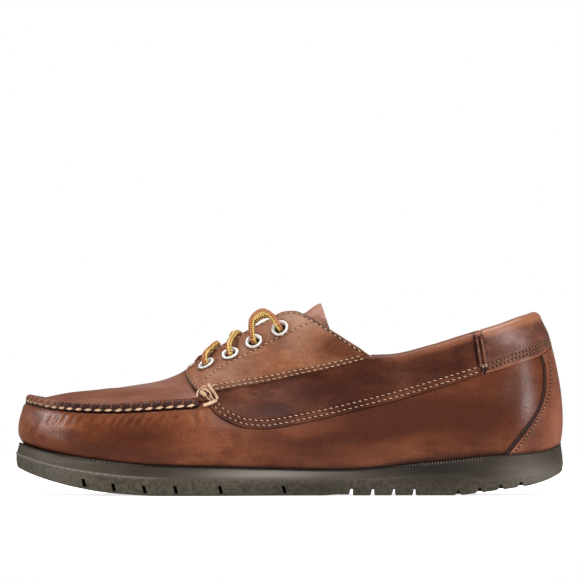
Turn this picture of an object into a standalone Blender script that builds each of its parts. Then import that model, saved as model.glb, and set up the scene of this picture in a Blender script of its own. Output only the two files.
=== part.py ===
# A man's laced camp moccasin, left shoe, standing empty on its flat rubber sole.
# X runs along the shoe (toe at -X, heel at +X), -Y is its outer side, and Z = 0 is the floor.
# Tables and sizes are in millimetres. Meshes are made in metres.

import math
from collections import namedtuple

import bmesh
import bpy
from mathutils import Matrix, Vector

MM = 0.001
LATERAL = -1
MEDIAL = 1
SIDE_NAMES = {LATERAL: "lateral", MEDIAL: "medial"}

# Driving dimensions
TOE_TIP = -150.0
TOE_CENTRE = -98.0
HEEL_CENTRE = 112.0
HEEL_BACK = 150.0
FAN_STEPS = 5
GAP = 0.3
OVERLAY_GAP = 0.45
MERGE = 0.00005

WALL = 2.2
MARGIN = 7.0
FEATHER_IN = 3.2
TOE_FEATHER = 1.0
SEAM_RIDGE = ((0.02, -0.6, 3.2), (0.07, -1.8, 2.9))
INSOLE_THICK = 3.0

SOLE_EDGE = 3.4
SOLE_WIDEST = 5.5
SOLE_LEAN = 2.2
TOE_LEAN = -0.5
HEEL_LEAN = -1.0
LEDGE_BEVEL = 0.9
WAIST_SHARE = 0.3
SOLE_ROUND = (1.2, 0.8)
TREAD_SHARE = 0.6

FACING_THICK = 1.5
FACING_FACE = OVERLAY_GAP + FACING_THICK
COUNTER_THICK = 1.4
COUNTER_FACE = OVERLAY_GAP + COUNTER_THICK
TAB_THICK = 1.3

TONGUE_THICK = 3.2
TONGUE_CLEAR = 3.8
TONGUE_DROP = 11.0
TONGUE_STATIONS = (-68, -62, -56, -50, -44, -37, -30, -22, -14, -6, 2, 9, 17)
TONGUE_SHARES = (-1, -0.78, -0.55, -0.28, 0, 0.28, 0.55, 0.78, 1)
UNDER_NARROW = 0.985
EYELET_HOLE = 3.5
EYELET_PROFILE = ((2.8, 1.1), (3.9, 1.6), (4.85, 0.35), (3.15, 0.35), (3.15, -4.4), (2.75, -4.4))
TURN_STEPS = 12
EDGE_SHARE = 0.98
EDGE_STEP = 0.01
FIND_STEPS = 40
FIND_SHARE = 0.6
HOLE_DEPTH = 16.0
LACE_DIAMETER = 3.2

# The sole's outline: the spine's place across the shoe, and each side's distance from the spine.
# Up to TOE_CENTRE and from HEEL_CENTRE on, s turns round that centre and the distance is a radius.
Plan = namedtuple("Plan", "s spine lateral medial")
PLAN = [
    Plan(-150, 5.8, 52.0, 52.0),
    Plan(-137, 5.8, 50.0, 50.0),
    Plan(-124, 5.8, 48.3, 46.8),
    Plan(-111, 5.8, 49.8, 45.3),
    Plan(-98, 5.8, 52.0, 46.0),
    Plan(-80, 5.0, 56.3, 48.3),
    Plan(-60, 4.3, 57.5, 47.3),
    Plan(-45, 4.0, 56.4, 43.8),
    Plan(-30, 3.8, 52.5, 39.5),
    Plan(-10, 3.8, 46.8, 34.0),
    Plan(10, 3.5, 42.7, 31.6),
    Plan(30, 2.8, 40.0, 31.0),
    Plan(60, 2.3, 37.8, 32.7),
    Plan(90, 1.8, 37.0, 36.0),
    Plan(112, 1.8, 37.2, 36.5),
    Plan(131, 1.8, 37.5, 37.2),
    Plan(150, 1.8, 38.0, 38.0),
]

# Heights along the shoe: the tread's underside, and the ledge that the upper stands on.
Height = namedtuple("Height", "s bottom ledge")
HEIGHTS = [
    Height(-158, 19.0, 31.0),
    Height(-146, 13.6, 27.5),
    Height(-138, 10.3, 25.2),
    Height(-128, 7.2, 22.9),
    Height(-115, 4.2, 20.6),
    Height(-102, 2.0, 18.9),
    Height(-88, 0.7, 17.3),
    Height(-72, 0.0, 16.4),
    Height(-42, 0.0, 15.5),
    Height(-3, 0.0, 14.4),
    Height(18, 0.0, 13.9),
    Height(26, 0.5, 13.9),
    Height(33, 0.5, 14.0),
    Height(35, 0.0, 14.1),
    Height(46, 0.0, 14.8),
    Height(63, 0.0, 16.5),
    Height(90, 0.0, 18.9),
    Height(103, 1.4, 20.4),
    Height(112, 2.6, 21.3),
    Height(122, 4.0, 22.4),
    Height(131, 5.4, 23.2),
    Height(139, 7.6, 24.3),
    Height(147, 11.4, 27.2),
    Height(158, 17.0, 31.0),
]

# The upper's wall: how far its fullest line and its seam line lie inside the sole's outline, their
# heights, how much of a folded seam there is, and how steeply the plug leaves the seam.
Wall = namedtuple("Wall", "s bulge_in bulge_up seam_in seam_z fold rise")
WALLS = [
    Wall(-150, 1.1, 6.6, 5.8, 51.2, 1.0, 8),
    Wall(-137, 1.1, 7.0, 5.3, 50.0, 1.0, 12),
    Wall(-124, 1.1, 8.0, 4.8, 47.8, 1.0, 24),
    Wall(-98, 1.0, 9.0, 4.5, 46.2, 1.0, 38),
    Wall(-62, 1.0, 9.0, 5.0, 48.2, 1.0, 42),
    Wall(-50, 1.0, 9.5, 5.5, 49.0, 1.0, 48),
    Wall(-43, 1.0, 10.0, 6.0, 49.6, 0.0, 60),
    Wall(0, 1.6, 11.0, 7.0, 52.0, 0.0, 60),
    Wall(40, 1.8, 12.0, 5.5, 54.0, 0.0, 60),
    Wall(90, 1.6, 12.5, 4.5, 57.0, 0.0, 60),
    Wall(150, 1.8, 13.0, 3.2, 59.0, 0.0, 60),
]

# The upper's top: on the spine while the vamp is closed, then along the throat and the collar.
# The edge's distance from the spine, its height, the wall's lean there, and the edge's radius.
Top = namedtuple("Top", "s edge_r edge_z lean roll")
TOPS = [
    Top(-150, 0.0, 58.3, 82.6, 1.1),
    Top(-124, 0.0, 58.3, 84.8, 1.1),
    Top(-98, 0.0, 58.3, 90, 1.1),
    Top(-85, 0.0, 59.9, 90, 1.1),
    Top(-72, 0.0, 62.1, 90, 1.1),
    Top(-61, 0.0, 66.0, 90, 1.1),
    Top(-57.5, 8.5, 68.0, 78, 1.1),
    Top(-53, 10.8, 71.0, 70, 1.1),
    Top(-48, 11.6, 74.2, 63, 1.1),
    Top(-36, 12.0, 81.3, 54, 1.1),
    Top(-26, 12.0, 87.2, 50, 1.1),
    Top(-10, 12.5, 95.8, 47, 1.1),
    Top(-2, 13.6, 99.9, 44, 1.1),
    Top(3, 15.2, 100.3, 41, 1.1),
    Top(9, 18.0, 98.2, 36, 1.2),
    Top(22, 24.0, 90.7, 27, 1.8),
    Top(38, 28.6, 80.6, 20, 2.4),
    Top(46, 29.6, 75.9, 18, 2.6),
    Top(54, 29.8, 76.1, 17, 2.8),
    Top(78, 28.0, 81.4, 17, 3.4),
    Top(95, 26.6, 86.7, 17, 3.6),
    Top(112, 24.8, 91.8, 18, 3.6),
    Top(131, 22.8, 97.5, 19, 3.6),
    Top(150, 21.9, 99.5, 19, 3.6),
]

# The tongue: its crown line, half its width, the crown's radius across the shoe, and how far its
# sides lean back.
Tongue = namedtuple("Tongue", "s crown half radius tilt")
TONGUE = [
    Tongue(-68, 58.5, 15.0, 60, 0.0),
    Tongue(-58, 62.5, 18.0, 55, 0.0),
    Tongue(-46, 70.5, 20.0, 48, 0.05),
    Tongue(-26, 82.3, 21.0, 40, 0.15),
    Tongue(-10, 90.3, 21.5, 34, 0.25),
    Tongue(0, 95.0, 22.0, 30, 0.32),
    Tongue(9, 99.9, 22.5, 27, 0.36),
    Tongue(17, 104.8, 22.5, 26, 0.37),
]

# The eyelets: each pair's place along the shoe, and its distance down from the facing's edge.
Eyelet = namedtuple("Eyelet", "x below")
EYELETS = [
    Eyelet(-44.4, 12.8),
    Eyelet(-31.7, 12.4),
    Eyelet(-18.8, 11.2),
    Eyelet(-4.5, 10.4),
]

# The lace. A strand leaves its eyelet by these steps: on along the shoe, up the facing, and out from it.
# Then it passes the facing's edge: on along the shoe, beyond the edge, and out from it.
STRAND_MOUTH = 1.9
Step = namedtuple("Step", "on up out")
STRAND_STEPS = [
    Step(0.5, 3.4, 3.8),
    Step(1.6, 8.2, 3.1),
]
STRAND_EDGE = {LATERAL: (2.6, 1.4, 3.5), MEDIAL: (0.6, 1.6, 3.6)}
BAR_EDGE = (4.0, 1.5, 3.7)
BAR_MIDDLE = (1.0, 0.0, -0.4)

# Where the second pair's strands cross the tongue: on along the shoe, across, and up.
Cross = namedtuple("Cross", "on y lift")
CROSSINGS = {
    LATERAL: [Cross(6.5, 4.5, 1.6), Cross(8.5, -2.5, 0.0), Cross(10.1, -8.5, 0.0)],
    MEDIAL: [Cross(4.5, 4.5, 3.0), Cross(7.5, -2.5, 1.4), Cross(10.1, -8.5, 0.0)],
}
LACE_LIFT = 0.8

# The arches from the third pair of eyelets to the fourth: x, out from the third eyelet, and z.
Arch = namedtuple("Arch", "x out z")
LOOP_LEAVE = 2.2
ARCHES = {
    LATERAL: [Arch(-20.8, 0.5, 94.6), Arch(-18.6, 0.0, 98.6), Arch(-14.9, -0.4, 100.5),
              Arch(-11.4, -0.6, 99.3), Arch(-8.6, -0.4, 96.4)],
    MEDIAL: [Arch(-20.4, 0.8, 92.6), Arch(-18.0, 0.6, 95.8), Arch(-14.6, 0.4, 97.8),
             Arch(-10.8, 0.2, 98.0), Arch(-7.6, 0.2, 96.2)],
}

# Stations of the upper between the toe's and the heel's fans. The throat opens after the last closed one.
CLOSED_STATIONS = (-98, -88, -78, -69, -61)
OPEN_STATIONS = (-57.5, -54, -50, -43, -34, -24, -14, -5, 2, 9, 19, 30, 41, 50, 64, 80, 96, 112)

# Rows of the wall below the seam, as a share of each arc, and of the part above it. The seam's ridge
# adds a row for each of its shares.
LOWER_ROWS = (0.0, 0.4, 1.0)
UPPER_ROWS = (0.5, 1.0)
TOP_ROWS = (0.16, 0.34, 0.55, 0.78, 1.0)
SEAM_ROW = len(LOWER_ROWS) + len(UPPER_ROWS) - 1
INNER_ROWS = (9, 8, 7, 6, 4, 2)
CAP_ANGLES = (60, 120)

# Outlines of the overlays, as seen from the side: x and z.
FACING_FRONT = ((-58.6, 76.0), (-57.0, 69.5), (-54.2, 61.5), (-50.5, 56.8), (-46.0, 55.6))
FACING_FOOT = ((-46.0, 55.6), (-39.0, 56.6), (-26.0, 58.8), (-10.0, 61.3), (4.0, 64.4), (21.0, 68.3),
               (34.0, 71.6), (43.0, 74.6), (47.5, 78.0))
BAND_FOOT = ((105.7, 66.3), (113.0, 68.3), (126.0, 72.4), (137.0, 76.2), (145.0, 82.0))
COUNTER_FRONT = ((136.8, 75.4), (139.8, 73.6), (141.0, 67.0), (141.0, 60.0), (139.0, 52.0), (134.3, 44.0),
                 (128.0, 36.0), (123.0, 28.0), (119.0, 19.0))
TAB = ((101.9, 95.0), (102.2, 87.5), (104.4, 70.8), (106.5, 67.2), (108.0, 71.2), (106.2, 88.0),
       (106.0, 95.0))
TAB_MIDDLE = ((103.9, 96.0), (104.1, 87.5), (105.3, 66.2))
JOIN = 0.6
REACH = 80.0

# Stations that the overlays' shells run between.
FACING_FROM = -57.5
FACING_TO = 48.0
BAND_FROM = 94.0
COUNTER_FROM = 112.0
FACING_TOP = ((47.5, 115), (-58.6, 115))
BAND_TOP_FRONT = (160, 96)
BAND_BACK = (160, 88)
COUNTER_BACK = ((160, 87), (160, 15), (119, 15))
COUNTER_TOP_FROM = 9

# Tread: slots right across under the waist, grooves across the heel, and notches in the sole's sides.
SLOTS_X = (34.0, 45.8, 57.3, 68.6)
SLOT_SECTION = ((-2.4, -1.0), (-1.1, 1.2), (-0.8, 3.4), (0.8, 3.4), (1.1, 1.2), (2.4, -1.0))
GROOVES_X = (92.2, 103.8, 115.4, 126.4)
GROOVE_SECTION = ((-2.6, -1.0), (-0.7, 0.9), (0.7, 0.9), (2.6, -1.0))
NOTCHES_X = (-112.0, -95.8, -79.0, -62.0, -37.6, -3.0)
NOTCH_SECTION = ((-1.1, 1.5), (-0.9, 5.2), (0.5, 5.2), (2.0, 1.5))
SIPE_SECTION = ((-0.9, -1.0), (-0.8, 3.0), (0.8, 3.0), (0.9, -1.0))
NOTCH_DEPTH = 6.0

LEATHER = (0.16, 0.05, 0.022)
LEATHER_LIGHT = (0.33, 0.15, 0.08)
LEATHER_DARK = (0.09, 0.036, 0.02)
HEEL_LEATHER = (0.21, 0.08, 0.045)
LEATHER_ROUGH = 0.5
RUBBER = (0.11, 0.095, 0.07)
SOCK = (0.5, 0.36, 0.22)
METAL = (0.8, 0.8, 0.78)
LACE_COLOUR = (0.6, 0.28, 0.04)


def remove_objects():
    for obj in list(bpy.data.objects):
        bpy.data.objects.remove(obj, do_unlink=True)


def collection(name):
    made = bpy.data.collections.new(name)
    bpy.context.scene.collection.children.link(made)
    return made


def material(name, colour, roughness, metallic=0.0):
    made = bpy.data.materials.new(name)
    made.use_nodes = True
    shader = made.node_tree.nodes["Principled BSDF"]
    shader.inputs["Base Color"].default_value = (*colour, 1.0)
    shader.inputs["Roughness"].default_value = roughness
    shader.inputs["Metallic"].default_value = metallic
    return made


def along(table, column, s):
    """One column of a table at s, by a cubic that never passes its rows, so flat stretches stay flat."""
    xs = [row.s for row in table]
    ys = [getattr(row, column) for row in table]
    s = min(max(s, xs[0]), xs[-1])
    i = max(k for k in range(len(xs) - 1) if xs[k] <= s)
    steps = [xs[k + 1] - xs[k] for k in range(len(xs) - 1)]
    rises = [(ys[k + 1] - ys[k]) / steps[k] for k in range(len(xs) - 1)]

    def slope(k):
        if k == 0 or k == len(xs) - 1 or rises[k - 1] * rises[k] <= 0:
            return 0.0
        before = 2 * steps[k] + steps[k - 1]
        after = steps[k] + 2 * steps[k - 1]
        return (before + after) / (before / rises[k - 1] + after / rises[k])

    u = (s - xs[i]) / steps[i]
    rise = ys[i + 1] - ys[i]
    start = slope(i) * steps[i]
    end = slope(i + 1) * steps[i]
    return ys[i] + u * (start + u * (3 * rise - 2 * start - end + u * (start + end - 2 * rise)))


def hermite(p0, t0, p1, t1, u):
    a = 2 * u**3 - 3 * u**2 + 1
    b = u**3 - 2 * u**2 + u
    c = 3 * u**2 - 2 * u**3
    d = u**3 - u**2
    return tuple(a * p0[k] + b * t0[k] + c * p1[k] + d * t1[k] for k in (0, 1))


def spline(points, steps=3):
    """Points on a smooth curve through the given ones."""
    ends = [points[0], *points, points[-1]]
    made = []
    for i in range(1, len(ends) - 2):
        start = [(ends[i + 1][k] - ends[i - 1][k]) / 2 for k in (0, 1)]
        end = [(ends[i + 2][k] - ends[i][k]) / 2 for k in (0, 1)]
        for j in range(steps):
            made.append(hermite(ends[i], start, ends[i + 1], end, j / steps))
    return [*made, tuple(points[-1])]


# The last: stations round the shoe, and the profile that stands on each.


def toe_share(s):
    return min(max((TOE_CENTRE - s) / (TOE_CENTRE - TOE_TIP), 0.0), 1.0)


def heel_share(s):
    return min(max((s - HEEL_CENTRE) / (HEEL_BACK - HEEL_CENTRE), 0.0), 1.0)


def direction(s, side):
    """The way out from the spine at s, in plan."""
    turn = math.radians(90 * max(toe_share(s), heel_share(s)))
    return (math.sin(turn) * (1 if s > 0 else -1), math.cos(turn) * side)


def centre(s):
    x = min(max(s, TOE_CENTRE), HEEL_CENTRE)
    return (x, along(PLAN, "spine", x))


def radius(s, side):
    return along(PLAN, SIDE_NAMES[side], s)


def plan_x(s, side, r):
    return centre(s)[0] + direction(s, side)[0] * r


def height(column, s, side, r):
    return along(HEIGHTS, column, plan_x(s, side, r))


def place(s, side, r, z):
    x, y = centre(s)
    dx, dy = direction(s, side)
    return Vector((x + dx * r, y + dy * r, z)) * MM


def is_closed(s):
    return along(TOPS, "edge_r", s) == 0.0


def edge_point(s):
    """Where the wall's outer face ends, and the way out there."""
    lean = math.radians(along(TOPS, "lean", s))
    out = (math.cos(lean), math.sin(lean))
    edge_r = along(TOPS, "edge_r", s)
    edge_z = along(TOPS, "edge_z", s)
    if is_closed(s):
        return (0.0, edge_z), out
    roll = along(TOPS, "roll", s)
    return (edge_r + roll * out[0], edge_z - roll + roll * out[1]), out


def feather(s, side):
    """The wall's foot: on the sole's ledge, a little inside its edge."""
    r = radius(s, side) - FEATHER_IN - TOE_FEATHER * toe_share(s)
    return (r, height("ledge", s, side, r) + GAP)


def upper_curve(s, side):
    """The wall above the seam line, as a function of a share from 0 at the seam to 1 at the top."""
    full, seam = wall_arc(s, side)
    top, out = edge_point(s)
    fold = along(WALLS, "fold", s)
    steep = math.atan2(seam[1] - full[1], 2 * (full[0] - seam[0]))
    rise = (1 - fold) * steep + fold * math.radians(along(WALLS, "rise", s))
    chord = math.dist(seam, top)
    leave = chord * (1 - 0.5 * fold)
    arrive = chord * (1 + 0.12 * fold)
    start = (-math.cos(rise) * leave, math.sin(rise) * leave)
    end = (-out[1] * arrive, out[0] * arrive)
    return lambda u: hermite(seam, start, top, end, u)


def wall_arc(s, side):
    """The fullest point of the wall and the seam point."""
    full_r = radius(s, side) - along(WALLS, "bulge_in", s)
    full_z = height("ledge", s, side, full_r) + along(WALLS, "bulge_up", s)
    seam_r = radius(s, side) - along(WALLS, "seam_in", s)
    return (full_r, full_z), (seam_r, along(WALLS, "seam_z", s))


def base_rows(s, side):
    """The smooth profile without the seam's ridge, from the foot to the top."""
    foot = feather(s, side)
    full, seam = wall_arc(s, side)
    rows = []
    for v in LOWER_ROWS:
        rows.append((full[0] - (full[0] - foot[0]) * (1 - v) ** 2, foot[1] + (full[1] - foot[1]) * v))
    for v in UPPER_ROWS:
        rows.append((full[0] - (full[0] - seam[0]) * v**2, full[1] + (seam[1] - full[1]) * v))
    curve = upper_curve(s, side)
    rows.extend(curve(u) for u in TOP_ROWS)
    return rows


def normals(rows, s):
    """The way out of the profile at each row, in its own plane."""
    ways = [(1.0, 0.0)]
    for before, after in zip(rows, rows[2:]):
        across = (after[1] - before[1], before[0] - after[0])
        size = math.hypot(*across)
        ways.append((across[0] / size, across[1] / size))
    ways.append(edge_point(s)[1])
    return ways


def offset_rows(s, side, out):
    rows = base_rows(s, side)
    return [(r + out * nr, z + out * nz) for (r, z), (nr, nz) in zip(rows, normals(rows, s))]


def outer_rows(s, side):
    """The upper's outer face: the turned-in margin, the wall with its seam ridge, and the top."""
    rows = base_rows(s, side)
    fold = along(WALLS, "fold", s)
    curve = upper_curve(s, side)
    ridge = []
    for share, inward, up in SEAM_RIDGE:
        r, z = curve(share * fold)
        ridge.append((r + inward * fold, z + up * fold))
    rows[SEAM_ROW + 1 : SEAM_ROW + 1] = ridge
    r = rows[0][0] - MARGIN
    return [(r, height("ledge", s, side, r) + GAP), *rows]


def edge_cap(s):
    """The rounded edge between the outer and the inner face."""
    if is_closed(s):
        return [edge_point(s)[0]] * len(CAP_ANGLES)
    (r, z), (nr, nz) = edge_point(s)
    roll = along(TOPS, "roll", s)
    middle = (r - roll * nr, z - roll * nz)
    turns = [(math.cos(math.radians(a)), math.sin(math.radians(a))) for a in CAP_ANGLES]
    return [(middle[0] + roll * (c * nr - k * nz), middle[1] + roll * (c * nz + k * nr)) for c, k in turns]


def inner_rows(s, side):
    """The upper's inner face, from the top down to the margin: thicker where the collar is padded."""
    rows = base_rows(s, side)
    ways = normals(rows, s)
    padding = 2 * along(TOPS, "roll", s) - WALL
    inner = []
    for row in INNER_ROWS:
        share = max((row - SEAM_ROW - 2) / (len(rows) - 3 - SEAM_ROW), 0.0)
        thick = WALL + padding * share**2
        inner.append((rows[row][0] - thick * ways[row][0], rows[row][1] - thick * ways[row][1]))
    if is_closed(s):
        inner[0] = (0.0, rows[-1][1] - WALL)
    for r in (rows[0][0] - WALL, rows[0][0] - MARGIN):
        inner.append((r, height("ledge", s, side, r) + GAP + WALL))
    return inner


def fan(first, last):
    return [first + (last - first) * k / FAN_STEPS for k in range(1, FAN_STEPS + 1)]


def stations():
    """Round the shoe: heel back, outer side, toe tip, inner side, and nearly back again."""
    toe = reversed(fan(TOE_CENTRE, TOE_TIP))
    side = [*toe, *CLOSED_STATIONS, *OPEN_STATIONS, *fan(HEEL_CENTRE, HEEL_BACK)]
    lateral = [(s, LATERAL) for s in reversed(side)]
    medial = [(s, MEDIAL) for s in side[1:-1]]
    return lateral + medial


# Meshes


class Net:
    """A mesh made of lines of points, where points on the spine are shared by both sides."""

    def __init__(self):
        self.bm = bmesh.new()
        self.shared = {}

    def line(self, s, side, rows):
        """The points of one line. A row that repeats the last one shares its point."""
        made = []
        for before, row in zip([None, *rows], rows):
            made.append(made[-1] if row == before else self.point(s, side, *row))
        return made

    def point(self, s, side, r, z):
        where = place(s, side, r, z)
        if r != 0.0:
            return self.bm.verts.new(where)
        key = tuple(round(value, 7) for value in where)
        if key not in self.shared:
            self.shared[key] = self.bm.verts.new(where)
        return self.shared[key]

    def free(self, where):
        return self.bm.verts.new(Vector(where) * MM)

    def strip(self, first, second, ring=False):
        """Triangles between two lines of points. Points that coincide give no triangle."""
        count = len(first)
        for k in range(count if ring else count - 1):
            nxt = (k + 1) % count
            for corners in ((first[k], second[k], second[nxt]), (first[k], second[nxt], first[nxt])):
                if len(set(corners)) == 3:
                    self.bm.faces.new(corners)

    def cap(self, line):
        self.bm.faces.new(line)

    def finish(self, name, look, group):
        bmesh.ops.triangulate(self.bm, faces=[f for f in self.bm.faces if len(f.verts) > 3])
        bmesh.ops.recalc_face_normals(self.bm, faces=self.bm.faces)
        mesh = bpy.data.meshes.new(name)
        self.bm.to_mesh(mesh)
        self.bm.free()
        return add_object(name, mesh, look, group)


def add_object(name, mesh, look, group):
    obj = bpy.data.objects.new(name, mesh)
    if look:
        mesh.materials.append(look)
    group.objects.link(obj)
    return obj


def loft(name, lines, look, group):
    """A closed body through one line of rows for each station round the shoe."""
    net = Net()
    made = [net.line(s, side, rows) for s, side, rows in lines]
    for first, second in zip(made, [*made[1:], made[0]]):
        net.strip(first, second)
    return net.finish(name, look, group)


def cutter(obj):
    obj.hide_render = True
    obj.display_type = "WIRE"
    return obj


def add_prism(net, outline, near, far):
    """An outline of x and z, drawn out across the shoe between two values of y."""
    lines = [[net.free((x, y, z)) for x, z in outline] for y in (near, far)]
    net.strip(*lines, ring=True)
    for line in lines:
        net.cap(line)


def prism(name, outline, near, far, group):
    net = Net()
    add_prism(net, outline, near, far)
    return cutter(net.finish(name, None, group))


def cut(obj, tool, operation):
    modifier = obj.modifiers.new(tool.name, "BOOLEAN")
    modifier.operation = operation
    modifier.solver = "EXACT"
    modifier.object = tool


# Sole and insole


def sole_rows(s, side):
    full = radius(s, side)
    edge = full - SOLE_EDGE
    low = height("bottom", s, side, edge)
    lean = SOLE_LEAN + TOE_LEAN * toe_share(s) + HEEL_LEAN * heel_share(s)
    top = full - lean
    high = height("ledge", s, side, top)
    widest = low + SOLE_WIDEST
    foot = feather(s, side)[0]
    rows = [(r, height("ledge", s, side, r)) for r in (0.0, foot - MARGIN, foot)]
    rows += [(top, high - LEDGE_BEVEL), (full - WAIST_SHARE * lean, (widest + high) / 2)]
    rows += [(full, widest), (full - SOLE_ROUND[0], low + SOLE_ROUND[1]), (edge, low)]
    rows += [(r, height("bottom", s, side, r)) for r in (full * TREAD_SHARE, 0.0)]
    return rows


def section_at(section, x):
    low = along(HEIGHTS, "bottom", x)
    return [(x + dx, low + dz) for dx, dz in section]


def tread_cutter(group):
    net = Net()
    for section, places in ((SLOT_SECTION, SLOTS_X), (GROOVE_SECTION, GROOVES_X)):
        for x in places:
            add_prism(net, section_at(section, x), -REACH, REACH)
    return cutter(net.finish("tread_cutter", None, group))


def side_cutter(group):
    net = Net()
    for section, places in ((NOTCH_SECTION, NOTCHES_X), (SIPE_SECTION, GROOVES_X)):
        for x in places:
            for side in (LATERAL, MEDIAL):
                edge = sole_edge_y(x, side)
                add_prism(net, section_at(section, x), edge - NOTCH_DEPTH, edge + NOTCH_DEPTH)
    return cutter(net.finish("side_cutter", None, group))


def sole_edge_y(x, side):
    """Where the sole's outline passes a given x."""
    s = x
    for _ in range(FIND_STEPS):
        s += FIND_SHARE * (x - plan_x(s, side, radius(s, side)))
    return centre(s)[1] + direction(s, side)[1] * radius(s, side)


def outsole(parts, cutters):
    look = material("rubber", RUBBER, 0.75)
    lines = [(s, side, sole_rows(s, side)) for s, side in stations()]
    sole = loft("outsole", lines, look, parts)
    cut(sole, tread_cutter(cutters), "DIFFERENCE")
    cut(sole, side_cutter(cutters), "DIFFERENCE")


def insole_rows(s, side):
    edge = feather(s, side)[0] - WALL - 2 * GAP
    low = GAP + WALL + GAP
    lifts = ((0.0, low + INSOLE_THICK), (edge, low + INSOLE_THICK), (edge, low), (0.0, low))
    return [(r, height("ledge", s, side, r) + lift) for r, lift in lifts]


def insole(parts):
    lines = [(s, side, insole_rows(s, side)) for s, side in stations()]
    loft("insole", lines, material("sock", SOCK, 0.8), parts)


# Upper


def upper(parts, holes):
    net = Net()
    made = []
    for s, side in stations():
        outer = net.line(s, side, outer_rows(s, side))
        inner = net.line(s, side, inner_rows(s, side))
        cap = [outer[-1]] * len(CAP_ANGLES) if is_closed(s) else net.line(s, side, edge_cap(s))
        made.append((is_closed(s), outer, cap, inner))
    for first, second in zip(made, [*made[1:], made[0]]):
        if first[0] and second[0]:
            net.strip(first[1], second[1])
            net.strip(first[3], second[3])
            net.strip([first[3][-1], first[1][0]], [second[3][-1], second[1][0]])
        else:
            net.strip(first[1] + first[2] + first[3], second[1] + second[2] + second[3], ring=True)
    body = net.finish("upper", material("vamp_leather", LEATHER, LEATHER_ROUGH), parts)
    cut(body, holes, "DIFFERENCE")


# Overlays, cut from shells that follow the upper's own profile.


def shell(name, path, rows, near, far, look, group):
    """A sheet between two offsets of the upper, over some stations and some of its rows."""
    net = Net()
    insides = [net.line(s, side, offset_rows(s, side, near)[rows]) for s, side in path]
    outsides = [net.line(s, side, offset_rows(s, side, far)[rows]) for s, side in path]
    for lines in (insides, outsides):
        for first, second in zip(lines, lines[1:]):
            net.strip(first, second)
    for end in (0, -1):
        net.strip([line[end] for line in insides], [line[end] for line in outsides])
        net.strip(insides[end], outsides[end])
    return net.finish(name, look, group)


def path_between(side, first, last):
    """Stations of one side, in the order that the upper takes them."""
    path = [(s, side) for s in OPEN_STATIONS if first <= s <= last]
    return path[::-1] if side == LATERAL else path


def heel_path(first):
    """Stations round the heel, in the order that the upper takes them."""
    half = [*[s for s in OPEN_STATIONS if s >= first], *fan(HEEL_CENTRE, HEEL_BACK)]
    return [(s, MEDIAL) for s in half[:-1]] + [(s, LATERAL) for s in reversed(half)]


def half_space(side):
    return (-REACH, 0) if side == LATERAL else (0, REACH)


def lifted(points, dx, dz):
    return [(x + dx, z + dz) for x, z in points]


def facing(side, parts, cutters, holes):
    name = "facing_" + SIDE_NAMES[side]
    path = path_between(side, FACING_FROM, FACING_TO)
    look = material(name, LEATHER_LIGHT, LEATHER_ROUGH)
    body = shell(name, path, slice(SEAM_ROW, None), OVERLAY_GAP, FACING_FACE, look, parts)
    outline = [*spline(FACING_FRONT), *spline(FACING_FOOT, 2)[1:], *FACING_TOP]
    cut(body, prism(name + "_outline", outline, *half_space(side), cutters), "INTERSECT")
    cut(body, holes, "DIFFERENCE")


def heel_band(parts, cutters):
    look = material("heel_band", HEEL_LEATHER, LEATHER_ROUGH)
    path = heel_path(BAND_FROM)
    body = shell("heel_band", path, slice(SEAM_ROW, None), OVERLAY_GAP, COUNTER_FACE, look, parts)
    front = lifted(TAB_MIDDLE, JOIN / 2, 0)
    outline = [BAND_TOP_FRONT, *front, *spline(BAND_FOOT), BAND_BACK]
    cut(body, prism("heel_band_outline", outline, -REACH, REACH, cutters), "INTERSECT")


def heel_counter(parts, cutters):
    look = material("heel_counter", HEEL_LEATHER, LEATHER_ROUGH)
    path = heel_path(COUNTER_FROM)
    body = shell("heel_counter", path, slice(0, -1), OVERLAY_GAP, COUNTER_FACE, look, parts)
    top = lifted(spline(BAND_FOOT)[COUNTER_TOP_FROM:], GAP, -OVERLAY_GAP)
    outline = [*reversed(spline(COUNTER_FRONT, 2)), *top, *COUNTER_BACK]
    cut(body, prism("heel_counter_outline", outline, -REACH, REACH, cutters), "INTERSECT")


def side_tab(side, parts, cutters):
    name = "side_tab_" + SIDE_NAMES[side]
    look = material(name, LEATHER_DARK, LEATHER_ROUGH)
    near = COUNTER_FACE + GAP
    path = path_between(side, BAND_FROM, COUNTER_FROM)
    body = shell(name, path, slice(SEAM_ROW, None), near, near + TAB_THICK, look, parts)
    cut(body, prism(name + "_outline", TAB, *half_space(side), cutters), "INTERSECT")


# Eyelets and lace


def surface(x, side, below, out):
    """A point on the instep, a distance down from its edge and out from the upper, and the way out."""

    def at(s, u, lift):
        curve = upper_curve(s, side)
        here = curve(u)
        ahead = curve(u + EDGE_STEP)
        way = (ahead[1] - here[1], here[0] - ahead[0])
        size = math.hypot(*way)
        return place(s, side, here[0] + lift * way[0] / size, here[1] + lift * way[1] / size)

    u = EDGE_SHARE
    while (at(x, u, 0) - at(x, EDGE_SHARE, 0)).length < below * MM:
        u -= EDGE_STEP / 2
    here = at(x, u, 0)
    way = (at(x + 1, u, 0) - here).cross(at(x, u + 2 * EDGE_STEP, 0) - here).normalized()
    if way.z < 0:
        way.negate()
    return here + way * out * MM, way


def facing_frame(spot, side):
    """The place and turn of an eyelet on the facing's outer face, its own +Z pointing out."""
    point, way = surface(spot.x, side, spot.below, FACING_FACE)
    return Matrix.Translation(point) @ way.to_track_quat("Z", "Y").to_matrix().to_4x4()


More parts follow.
